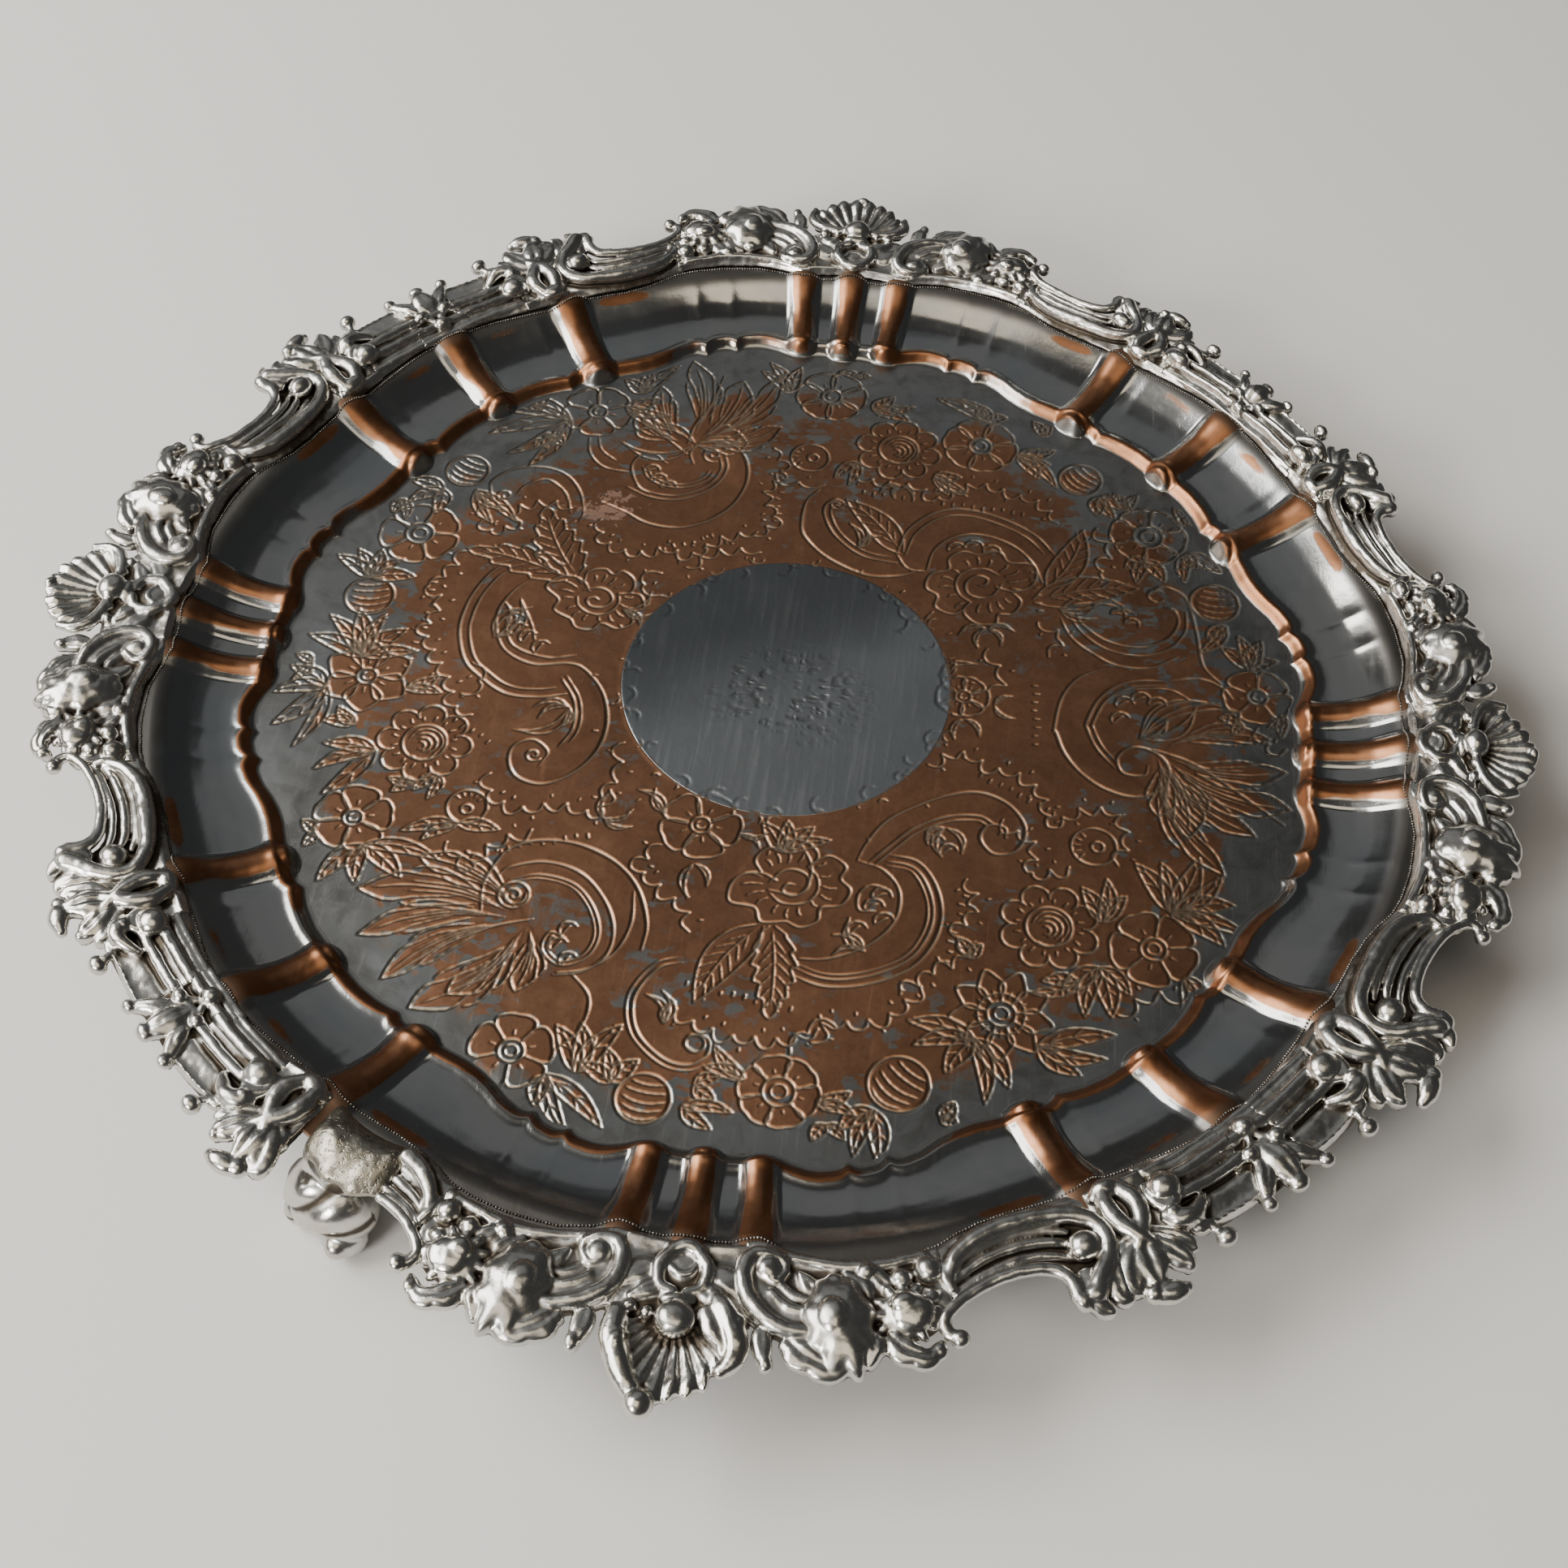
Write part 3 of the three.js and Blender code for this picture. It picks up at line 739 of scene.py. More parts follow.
def acanthus(root, tips, width, w=0.52):
    """A spreading leaf: lobes with two or three hooked tips each."""
    root = np.asarray(root, float)
    n = len(tips)
    for i, t in enumerate(tips):
        t = np.asarray(t, float)
        d = t - root
        L = float(np.hypot(*d))
        d /= L
        s = np.array([-d[1], d[0]])
        bow = 0.16 * (1 if i < n / 2 else -1)

        def at(q, k):
            return root + d * L * q + s * (bow * L * math.sin(math.pi * q) * 0.7 + k)
        wd = width * (0.9 + 0.2 * math.sin(i * 1.9))
        for side in (-1, 1):
            cut([at(0.32, side * wd * 0.18), at(0.5, side * wd * 0.44), at(0.64, side * wd * 0.56),
                 at(0.735, side * wd * 0.50)], w, 0.35)
            cut([at(0.66, side * wd * 0.30), at(0.80, side * wd * 0.40), at(0.90, side * wd * 0.26), at(1.0, 0)], w, 0.3)
            cut([at(0.42, side * wd * 0.12), at(0.56, side * wd * 0.26), at(0.70, side * wd * 0.34)], w * 0.7, 0.6)
        cut([at(0.10, 0), at(0.4, 0), at(0.7, 0), at(0.92, 0)], w * 0.85, 0.5)
        cut([at(0.2, wd * 0.05), at(0.45, wd * 0.10), at(0.74, wd * 0.14)], w * 0.65, 0.6)
        cut([at(0.2, -wd * 0.05), at(0.45, -wd * 0.10), at(0.74, -wd * 0.14)], w * 0.65, 0.6)
        fill([at(q, wd * 0.42 * math.sin(math.pi * q ** 1.3)) for q in np.linspace(0, 1, 8)]
             + [at(q, -wd * 0.42 * math.sin(math.pi * q ** 1.3)) for q in np.linspace(1, 0, 8)], 1.0)


def wriggle(rows, pitch=26.0, amp=9.0, w=0.48, ticks=True):
    """A run of small scallops with ticks beside it."""
    s = smooth_path(rows, 24)
    seg = np.hypot(*np.diff(s, axis=0).T)
    run = np.concatenate([[0], np.cumsum(seg)])
    n = max(2, int(run[-1] / pitch))
    step = run[-1] / n

    def at(q):
        x = np.interp(q, run, s[:, 0])
        y = np.interp(q, run, s[:, 1])
        x2 = np.interp(min(q + 2, run[-1]), run, s[:, 0]) - np.interp(max(q - 2, 0), run, s[:, 0])
        y2 = np.interp(min(q + 2, run[-1]), run, s[:, 1]) - np.interp(max(q - 2, 0), run, s[:, 1])
        L = math.hypot(x2, y2) + 1e-9
        return np.array([x, y]), np.array([-y2 / L, x2 / L])
    pts = []
    for i in range(n):
        k = 1.0 + 0.30 * math.sin(i * 2.7 + rows[0][0])
        for t, o in ((0.0, -0.45), (0.10, 0.25), (0.32, 0.95), (0.60, 0.98), (0.84, 0.35)):
            p, nn = at((i + t) * step)
            pts.append(p + nn * amp * o * k)
    p, nn = at(run[-1])
    pts.append(p)
    cut(pts, w, 0.1, 4)
    if ticks:
        for i in range(n):
            p, nn = at((i + 0.4) * step)
            d = -1 if i % 3 else 1
            a = p - nn * (amp * 1.15) * (-d)
            cut([a, a - nn * 7.0 * (-d)], 0.4, 0.5, 3)


def tick_row(rows, side=1, pitch=15.0, length=10.0, w=0.44, gap=6.0):
    s = smooth_path(rows, 24)
    seg = np.hypot(*np.diff(s, axis=0).T)
    run = np.concatenate([[0], np.cumsum(seg)])
    for i in range(max(1, int(run[-1] / pitch))):
        q = (i + 0.5) * pitch
        x, y = np.interp(q, run, s[:, 0]), np.interp(q, run, s[:, 1])
        x2 = np.interp(q + 2, run, s[:, 0]) - x
        y2 = np.interp(q + 2, run, s[:, 1]) - y
        L = math.hypot(x2, y2) + 1e-9
        nn = np.array([-y2 / L, x2 / L]) * side
        a = np.array([x, y]) + nn * gap
        cut([a, a + nn * length * (1 + 0.3 * math.sin(i * 1.7))], w, 0.5, 3)


def trumpet(cx, cy, s=1.0, turn=0.0, flip=1):
    """A full-blown flower seen from the side, with frilled petals."""
    c, q = math.cos(math.radians(turn)), math.sin(math.radians(turn))

    def P(rows):
        return [(cx + s * (flip * x * c - y * q), cy + s * (flip * x * q + y * c)) for x, y in rows]
    cut(P([(-12, 62), (-46, 58), (-52, 34), (-84, 20), (-78, -8), (-58, -22), (-34, -20), (-16, -6)]), 0.52, 0.2)
    cut(P([(-12, 62), (6, 74), (30, 66), (38, 46), (66, 44), (82, 22), (72, 2), (82, -18), (64, -38), (44, -34)]), 0.52, 0.2)
    cut(P([(-34, -20), (-40, -44), (-20, -62), (0, -58), (10, -72), (34, -66), (46, -48), (44, -34), (30, -24)]), 0.52, 0.2)
    cut(P([(-26, -4), (-6, -20), (14, -20), (28, -6), (22, 14), (2, 22), (-10, 12), (-2, 2), (8, 4)]), 0.55, 0.3)
    cut(P([(30, -24), (40, -6), (38, 16), (24, 32), (4, 36), (-16, 30), (-28, 14)]), 0.48, 0.3)
    for a0, r0, r1 in ((200, 34, 66), (182, 32, 70), (164, 34, 66), (146, 36, 60), (118, 38, 58), (98, 40, 62), (78, 40, 60),
                       (50, 40, 58), (30, 44, 68), (12, 42, 70), (-8, 42, 62), (-30, 44, 66), (-62, 34, 58),
                       (-84, 30, 56), (-104, 32, 56), (-124, 34, 52)):
        a = math.radians(a0)
        cut(P([(r0 * math.cos(a), r0 * math.sin(a)), ((r0 + r1) / 2 * math.cos(a + 0.08), (r0 + r1) / 2 * math.sin(a + 0.08)),
               (r1 * 0.93 * math.cos(a + 0.05), r1 * 0.93 * math.sin(a + 0.05))]), 0.36, 0.6, 4)
    fill(P([(70 * math.cos(t), 64 * math.sin(t)) for t in np.linspace(0, 6.2, 18)]), 1.0)


def hooks(rows, size=20.0, w=0.5):
    for x, y, a in rows:
        arc(x, y, size * 0.60, a, a + 200, w)
        cut([(x + size * 0.60 * math.cos(math.radians(a)), y + size * 0.60 * math.sin(math.radians(a))),
             (x + size * 0.15 * math.cos(math.radians(a + 60)), y + size * 0.15 * math.sin(math.radians(a + 60))),
             (x + size * 0.34 * math.cos(math.radians(a + 150)), y + size * 0.34 * math.sin(math.radians(a + 150)))], w * 0.85, 0.5, 5)


def chase():
    A = lambda rows: quarter(0, 0, rows)
    B = lambda rows: quarter(760, 0, rows)
    C = lambda rows: quarter(0, 760, rows)
    D = lambda rows: quarter(760, 760, rows)

    # upper left scroll and its leaf
    o1 = A([(1105, 640), (1090, 590), (1120, 545), (1175, 532), (1230, 560), (1262, 620), (1268, 700), (1240, 790),
            (1180, 860), (1100, 900), (1010, 895), (940, 860), (865, 830)])
    cut(o1, 0.62)
    i1 = A([(1190, 585), (1205, 640), (1190, 700), (1150, 750), (1080, 790), (1000, 790), (930, 760)])
    twin(i1, 9, 0.58)
    spiral(601, 307, 17, 4, 60, 1.25, 0.55)
    fill(o1[2:] + i1[::-1], 1.0)
    twin(A([(1170, 660), (1150, 700), (1100, 735), (1040, 740), (985, 715), (960, 670)]), 7, 0.5)
    cut(A([(1030, 650), (985, 615), (945, 630), (930, 680), (960, 750), (1000, 780)]), 0.5)
    hooks([(528, 372, 150), (545, 385, 150), (515, 355, 160)], 20)
    acanthus((562, 292), [(540, 104), (625, 138), (682, 120), (697, 232), (650, 276), (470, 232), (500, 170)], 54)
    cut(A([(1075, 560), (1085, 480), (1120, 380), (1140, 250)]), 0.6)
    blades((572, 290), [(640, 262), (470, 275), (455, 300)], 0.2)
    cut(A([(905, 450), (960, 500), (1030, 560), (1080, 600)]), 0.5)
    # small scroll beside it
    s2 = A([(600, 890), (565, 870), (545, 830), (545, 790), (600, 735), (680, 718), (750, 740), (800, 800), (825, 880), (820, 920)])
    cut(s2, 0.55)
    cut(A([(620, 850), (640, 800), (690, 765), (740, 790), (770, 830), (790, 890)]), 0.48)
    spiral(307, 441, 13, 3, 100, 1.2, 0.52)
    cut(A([(785, 570), (800, 640), (850, 690), (930, 700)]), 0.5)
    cut(A([(810, 560), (830, 620), (880, 660)]), 0.4)
    # serrated leaves
    leaf_cut((434, 594), (276, 556), 52, 0.10, 6, 5)
    leaf_cut((444, 588), (372, 456), 66, -0.08, 6, 6)
    trumpet(478, 622, 0.86, 20)
    blades((520, 640), [(556, 600), (566, 640), (552, 676)], 0.2)
    # long S scroll down the left
    so = A([(640, 1120), (615, 1150), (590, 1210), (575, 1280), (575, 1370), (610, 1470)]) + C([(660, 60), (740, 110), (830, 112), (905, 90)])
    cut(so, 0.6)
    cut(offset_path(so, -14)[::6], 0.5)
    si = A([(735, 1150), (690, 1210), (665, 1290), (680, 1370), (720, 1430), (800, 1462), (890, 1445)]) + C([(940, 0), (1000, 70), (1030, 170), (1020, 270), (970, 350), (900, 395), (830, 380), (800, 330), (805, 280), (850, 255), (895, 290), (880, 340)])
    cut(si, 0.6)
    s3 = C([(880, 35), (930, 110), (945, 200), (920, 270)])
    twin(s3, -8, 0.52)
    spiral(447, 918, 12, 3, 30, 1.2, 0.5)
    fill(A([(640, 1120), (575, 1280), (575, 1370), (610, 1470)]) + C([(740, 110), (900, 95), (945, 200), (890, 300), (900, 395), (1020, 270), (1030, 170), (940, 0)]) + A([(890, 1445), (720, 1430), (665, 1290), (735, 1150)]), 1.0)
    hooks([(382, 700, 120), (398, 712, 120), (374, 682, 130), (420, 728, 120)], 22)
    blades((350, 720), [(352, 650), (372, 640), (392, 655)], 0.22)
    blades((480, 830), [(430, 836), (440, 856), (410, 880), (470, 868)], 0.2)
    cut([(372, 640), (398, 688), (408, 716)], 0.45)
    cut([(360, 690), (380, 730), (430, 745), (470, 735)], 0.5)
    # upper right crescent
    c1 = B([(20, 690), (-10, 740), (-15, 820), (0, 880), (70, 950), (180, 1000), (270, 995), (330, 965)])
    cut(c1, 0.6)
    c2 = B([(110, 745), (75, 720), (45, 750), (50, 800), (90, 870), (170, 930), (270, 945)])
    twin(c2, -10, 0.55)
    fill(c1 + c2[::-1], 1.0)
    spiral(799, 385, 11, 3, 0, 1.2, 0.5)
    leaf_cut((905, 470), (812, 372), 44, 0.10, 5, 0)
    blades((840, 470), [(822, 420), (848, 428), (870, 440)], 0.15)
    # arch
    a1 = B([(265, 910), (290, 810), (360, 730), (450, 705), (560, 730), (650, 780), (710, 850)])
    twin(a1, 13, 0.6)
    a2 = B([(355, 960), (370, 880), (420, 820), (500, 800), (590, 830), (650, 890), (680, 960)])
    cut(a2, 0.55)
    fill(a1 + a2[::-1], 1.0)
    cut(B([(265, 910), (300, 960), (350, 965)]), 0.5)
    trumpet(1030, 518, 1.0, 155)
    hooks([(985, 450, 150), (1010, 442, 160), (1036, 448, 170)], 22)
    blades((1040, 600), [(1000, 618), (1030, 640), (1062, 630), (1080, 600)], 0.2)
    leaf_cut((1103, 536), (1252, 490), 54, -0.10, 6, 0)
    leaf_cut((1122, 506), (1168, 384), 46, 0.12, 5, 0)
    blades((1140, 545), [(1200, 522), (1196, 556), (1250, 540)], 0.15)
    # curls on the right
    cut(B([(980, 960), (1000, 930), (1030, 925), (1080, 960), (1110, 1080), (1130, 1200), (1180, 1260)]), 0.55)
    cut(B([(1020, 1000), (1050, 1010), (1060, 1060), (1030, 1120), (960, 1160), (870, 1150), (800, 1100), (780, 1060)]), 0.55)
    cut(B([(735, 1080), (770, 1150), (830, 1200), (900, 1235), (985, 1230), (1060, 1180)]), 0.55)
    cut(B([(760, 1070), (800, 1130), (870, 1180), (960, 1190), (1040, 1150), (1080, 1080), (1080, 1010)]), 0.45)
    arc(1279, 500, 12, 30, 320, 0.5)
    hooks([(1225, 545, 180), (1245, 560, 180)], 18)
    # big scroll on the right
    r1 = B([(885, 1240), (800, 1290), (755, 1370), (740, 1480)]) + D([(745, 30), (770, 95), (815, 155), (880, 200), (960, 215), (1030, 175), (1045, 110), (1010, 62), (950, 50), (910, 90), (925, 140), (980, 140), (990, 105)])
    cut(r1, 0.62)
    r2 = B([(1030, 1270), (930, 1290), (860, 1350), (825, 1440)]) + D([(828, 10), (855, 70), (905, 130)])
    twin(r2, -9, 0.56)
    fill(B([(885, 1240), (800, 1290), (755, 1370), (740, 1480)]) + D([(770, 95), (880, 200), (1000, 190), (905, 130), (828, 10)]) + B([(825, 1440), (860, 1350), (930, 1290), (1030, 1270)]), 1.0)
    cut(B([(1030, 1270), (1120, 1250), (1180, 1270), (1210, 1310)]), 0.5)
    cut(B([(900, 1330), (950, 1310), (1040, 1300), (1100, 1330)]), 0.45)
    hooks([(1240, 712, 150), (1262, 700, 160), (1235, 740, 140), (1285, 706, 170)], 22)
    blades((1262, 770), [(1300, 730), (1340, 700), (1370, 690), (1400, 700)], 0.14)
    acanthus((1282, 790), [(1462, 800), (1467, 864), (1420, 915), (1379, 985), (1332, 930), (1290, 900), (1440, 745)], 50)
    cut(D([(1000, 50), (1100, 80), (1180, 130), (1340, 250)]), 0.6)
    # lower right scroll with its band
    b1 = D([(270, 520), (285, 470), (320, 400), (370, 350), (470, 285), (560, 260), (640, 290), (685, 360), (665, 430), (610, 448), (572, 405), (590, 360), (632, 362), (636, 395)])
    cut(b1, 0.62)
    b2 = D([(300, 520), (340, 470), (400, 400), (480, 350), (560, 335), (600, 352)])
    twin(b2, 8, 0.52)
    fill(D([(270, 520), (320, 400), (370, 350), (470, 285), (560, 260), (640, 290), (600, 340), (480, 350), (400, 400), (300, 520)]), 1.0)
    d1 = D([(345, 490), (420, 500), (470, 560), (495, 650), (480, 740), (430, 820), (330, 880), (230, 900), (150, 880)])
    cut(d1, 0.6)
    cut(offset_path(d1, 11)[::6], 0.55)
    cut(offset_path(d1, 18)[::6], 0.42)
    d2 = D([(275, 520), (340, 540), (385, 600), (380, 690), (320, 770), (230, 820), (160, 830)])
    cut(d2, 0.55)
    fill(d1 + d2[::-1], 1.0)
    cut(D([(350, 590), (310, 590), (285, 620), (290, 665), (330, 665)]), 0.5)
    hooks([(930, 1100, 150), (945, 1120, 150), (912, 1138, 140), (938, 1082, 160)], 22)
    blades((925, 1170), [(880, 1150), (884, 1180), (900, 1120)], 0.2)
    blades((1010, 960), [(985, 985), (1010, 1010), (1035, 1000)], 0.2)
    hooks([(1000, 985, 140), (1018, 998, 150)], 20)
    trumpet(816, 1078, 0.95, -15)
    fan((800, 1030), [(770, 985), (802, 978), (838, 984), (862, 1002)], 22, 0.1, 1)
    cut(D([(120, 480), (160, 560), (140, 640), (60, 640)]), 0.5)
    leaf_cut((803, 1145), (817, 1285), 54, -0.06, 6, 6)
    leaf_cut((790, 1148), (722, 1275), 50, 0.12, 6, 0)
    # lower left scroll with the spreading leaf
    l1 = C([(830, 800), (820, 740), (825, 690), (860, 610), (930, 572), (1030, 570), (1130, 610), (1200, 680), (1240, 780), (1240, 860)])
    cut(l1, 0.62)
    l2 = C([(850, 690), (880, 660), (960, 635), (1050, 655), (1120, 720), (1160, 800), (1160, 880), (1110, 940), (1040, 960)])
    cut(l2, 0.55)
    twin(C([(880, 700), (950, 675), (1040, 690), (1100, 750), (1130, 830), (1110, 900), (1050, 930), (1000, 890), (1010, 840), (1050, 850)]), 6, 0.48)
    spiral(468, 1147, 16, 3, -20, 1.5, 0.55)
    ring(468, 1147, 20, 0.5)
    fill(l1 + l2[::-1], 1.0)
    acanthus((494, 1185), [(333, 1103), (268, 1166), (285, 1235), (330, 1295), (374, 1332), (416, 1306), (499, 1290)], 52)
    cut([(500, 1180), (450, 1200), (390, 1240), (340, 1290)], 0.55)
    hooks([(548, 1190, 130), (540, 1215, 130), (556, 1235, 130)], 20)
    cut([(620, 1120), (625, 1170), (612, 1215), (580, 1245), (545, 1255)], 0.5)
    # small scroll at the bottom
    m1 = C([(1345, 880), (1295, 900), (1260, 950), (1245, 1010), (1270, 1090), (1340, 1150), (1400, 1160), (1440, 1130), (1440, 1085), (1400, 1075), (1385, 1105), (1410, 1120)])
    twin(m1[:8], 8, 0.56)
    cut(m1, 0.56)
    ring(733, 1332, 12, 0.5)
    cut([(560, 1250), (592, 1285), (590, 1330), (565, 1365)], 0.5)
    blades((690, 1310), [(660, 1270), (680, 1262), (700, 1275)], 0.2)

    # open flowers
    for cx, cy, eye, n, reach, turn in (
            (411, 240, 14, 5, 54, 10), (200, 536, 20, 5, 58, 30), (765, 151, 15, 6, 54, 0), (1003, 227, 17, 6, 56, 15),
            (1264, 382, 22, 6, 56, 5), (1423, 671, 14, 5, 48, 20), (1016, 730, 11, 6, 36, 0), (191, 815, 14, 6, 60, 25),
            (233, 1056, 13, 5, 52, -15), (689, 1002, 13, 5, 54, 5), (512, 1374, 16, 5, 52, -20), (843, 1384, 20, 6, 50, 12),
            (1289, 1113, 17, 5, 56, 25)):
        blossom(cx, cy, eye, n, reach, turn, pointed=(cx == 191))
    blossom(1103, 1236, 18, 9, 62, 8, True)
    ring(1103, 1236, 30, 0.4)
    for cx, cy, t in ((880, 255, 10), (297, 919, 0), (1155, 1098, 20)):
        rose(cx, cy, t)
    for cx, cy, r, t in ((241, 398, 32, 20), (158, 668, 35, -10), (1159, 278, 32, 40), (1363, 502, 35, 0), (682, 1416, 34, 5), (986, 1353, 38, 35)):
        bud(cx, cy, r, t)
    for cx, cy, r, t in ((748, 292, 29, 0), (378, 1017, 27, 90), (1207, 963, 30, 0)):
        berry(cx, cy, r, t)

    # leaves round the flowers, going clockwise from the upper left
    for root, tips, wd in (
            ((372, 262), [(262, 222), (246, 262), (256, 312), (292, 352), (330, 372)], 24),
            ((452, 222), [(500, 196), (520, 232), (508, 268)], 20),
            ((470, 190), [(440, 160), (470, 128), (520, 118)], 20),
            ((215, 442), [(160, 428), (168, 474), (214, 492)], 22),
            ((262, 436), [(310, 470), (300, 500), (336, 492)], 18),
            ((150, 632), [(92, 596), (120, 580), (154, 576), (190, 590), (214, 622)], 22),
            ((175, 780), [(92, 752), (112, 712), (150, 694), (190, 700), (226, 722), (250, 760)], 26),
            ((142, 840), [(82, 812), (68, 862), (84, 918), (122, 952)], 24),
            ((250, 830), [(290, 800), (300, 830)], 18),
            ((235, 940), [(162, 940), (160, 985), (182, 1024)], 22),
            ((330, 970), [(300, 1000), (322, 1012)], 16),
            ((258, 1096), [(212, 1162), (262, 1160), (318, 1142), (360, 1106)], 24),
            ((190, 1085), [(168, 1070), (180, 1110)], 16),
            ((372, 1046), [(300, 1068), (330, 1078), (428, 1048)], 18),
            ((560, 1400), [(556, 1446), (600, 1476), (640, 1462)], 22),
            ((640, 1400), [(598, 1378), (626, 1352), (668, 1364)], 20),
            ((730, 1420), [(770, 1446), (792, 1420)], 18),
            ((800, 1372), [(748, 1362), (756, 1330)], 18),
            ((890, 1394), [(930, 1372), (938, 1402)], 18),
            ((960, 1392), [(920, 1424), (942, 1458), (972, 1462)], 22),
            ((1072, 1276), [(988, 1262), (998, 1296), (1040, 1330), (1092, 1366), (1120, 1340)], 24),
            ((1150, 1276), [(1206, 1310), (1236, 1282), (1246, 1246)], 22),
            ((1222, 1150), [(1176, 1200), (1206, 1226), (1240, 1222), (1262, 1186)], 24),
            ((1222, 1080), [(1194, 1030), (1226, 1012), (1252, 1036)], 22),
            ((1310, 1052), [(1262, 982), (1296, 976), (1346, 960), (1376, 986), (1392, 1030), (1412, 1076), (1380, 1096)], 26),
            ((1330, 1150), [(1366, 1178), (1330, 1208)], 20),
            ((1412, 620), [(1372, 586), (1396, 560), (1430, 566), (1452, 600)], 22),
            ((1380, 545), [(1352, 572), (1342, 600)], 18),
            ((1322, 408), [(1336, 436), (1320, 466), (1372, 440)], 20),
            ((1320, 350), [(1300, 318), (1330, 330)], 16),
            ((1262, 430), [(1232, 452), (1250, 480), (1290, 470)], 20),
            ((1190, 310), [(1188, 350), (1214, 352), (1240, 332)], 22),
            ((1062, 236), [(1118, 220), (1112, 252), (1096, 284), (1124, 300)], 22),
            ((1010, 168), [(930, 132), (960, 128), (1000, 136), (1040, 158)], 22),
            ((830, 168), [(862, 138), (896, 156), (890, 188)], 22),
            ((940, 300), [(980, 300), (990, 330), (962, 340)], 18),
            ((820, 290), [(790, 330), (812, 342)], 16),
            ((700, 150), [(650, 110), (660, 88), (710, 92)], 20),
            ((800, 100), [(770, 92), (820, 96)], 14)):
        fan(root, tips, wd)
    for root, tips, wd in (
            ((596, 1392), [(560, 1330), (590, 1322), (640, 1318)], 24),
            ((740, 1390), [(768, 1404), (772, 1372)], 18),
            ((905, 1420), [(890, 1444), (930, 1438)], 16),
            ((1040, 1392), [(1056, 1368), (1062, 1398)], 18),
            ((1196, 1176), [(1150, 1180), (1136, 1200)], 18),
            ((1060, 1160), [(1040, 1130), (1072, 1136)], 16),
            ((300, 986), [(272, 1006), (262, 984)], 16),
            ((196, 900), [(150, 900), (166, 874)], 20),
            ((110, 800), [(84, 790), (90, 836)], 14),
            ((318, 252), [(298, 222), (330, 216)], 18),
            ((350, 300), [(330, 330), (352, 336), (372, 322)], 18),
            ((1100, 190), [(1080, 160), (1110, 160)], 16),
            ((1230, 330), [(1210, 300), (1246, 300)], 16),
            ((1462, 700), [(1456, 740), (1438, 724)], 14),
            ((160, 470), [(150, 500), (172, 512)], 16),
            ((1400, 720), [(1370, 716), (1388, 742)], 16)):
        fan(root, tips, wd)
    blades((890, 330), [(860, 352), (884, 362), (912, 356)], 0.15)
    blades((560, 1010), [(596, 990), (600, 1018), (560, 966)], 0.15)
    blades((640, 990), [(596, 956), (620, 950)], 0.15)
    blades((742, 1010), [(780, 1000), (772, 1030)], 0.15)
    blades((690, 1065), [(690, 1120), (712, 1100)], 0.15)
    blades((980, 700), [(1000, 664), (1032, 668)], 0.15)
    blades((1020, 770), [(1010, 810), (1044, 800)], 0.15)
    blades((1060, 740), [(1090, 760), (1084, 720)], 0.15)

    # runs of scallops over the ground
    for rows in (
            [(276, 470), (300, 516), (330, 500), (330, 466), (372, 444), (410, 452)],
            [(456, 470), (470, 512), (520, 530), (556, 514), (600, 520), (640, 480), (690, 460)],
            [(232, 640), (262, 666), (250, 716), (270, 760), (300, 800), (322, 850), (350, 862)],
            [(270, 560), (262, 600), (236, 640)],
            [(330, 830), (350, 800), (330, 770)],
            [(392, 960), (410, 1000), (452, 1010), (500, 996), (548, 1004), (560, 962)],
            [(560, 880), (566, 930), (552, 980)],
            [(362, 1080), (402, 1112), (416, 1080), (470, 1042)],
            [(690, 470), (712, 430), (690, 380), (712, 330), (690, 280)],
            [(820, 320), (860, 330), (912, 330), (950, 350), (1000, 312), (1050, 322), (1104, 340), (1130, 376)],
            [(700, 340), (736, 350), (776, 348)],
            [(600, 548), (620, 520), (660, 500), (700, 500)],
            [(1184, 380), (1210, 420), (1196, 462), (1222, 480)],
            [(1110, 580), (1150, 600), (1130, 640)],
            [(980, 860), (1016, 830), (1060, 850), (1104, 860), (1136, 890), (1150, 930), (1200, 900), (1240, 905)],
            [(1240, 905), (1250, 940), (1240, 990)],
            [(1082, 940), (1130, 974), (1126, 1018), (1160, 1010), (1176, 1000)],
            [(1042, 1040), (1062, 1080), (1040, 1120), (1052, 1160), (1010, 1190), (976, 1226)],
            [(880, 1312), (890, 1280), (934, 1276), (976, 1250), (1000, 1210)],
            [(700, 1290), (740, 1310), (790, 1318), (840, 1312), (880, 1290)],
            [(640, 1040), (620, 1080), (650, 1110), (690, 1140), (700, 1172)],
            [(900, 1280), (862, 1300), (850, 1330)],
            [(900, 620), (930, 600), (960, 580)],
            [(1040, 640), (1070, 690), (1052, 730)],
            [(560, 560), (540, 590), (572, 606)],
            [(1420, 730), (1440, 760), (1462, 760)],
            [(1250, 1220), (1290, 1180), (1330, 1190)]):
        wriggle(rows)
    for rows, side in ((([(256, 620), (262, 700), (252, 800)]), 1), (([(700, 440), (700, 330)]), 1),
                       (([(1110, 470), (1130, 560)]), 1), (([(1050, 850), (1150, 900), (1180, 940)]), 1),
                       (([(560, 530), (640, 486)]), -1), (([(420, 1070), (560, 1020)]), 1),
                       (([(1060, 1060), (1040, 1180)]), 1), (([(700, 1260), (860, 1284)]), -1),
                       (([(830, 340), (1090, 350)]), 1), (([(1100, 690), (1110, 820)]), -1),
                       (([(330, 860), (400, 900)]), 1)):
        tick_row(rows, side)
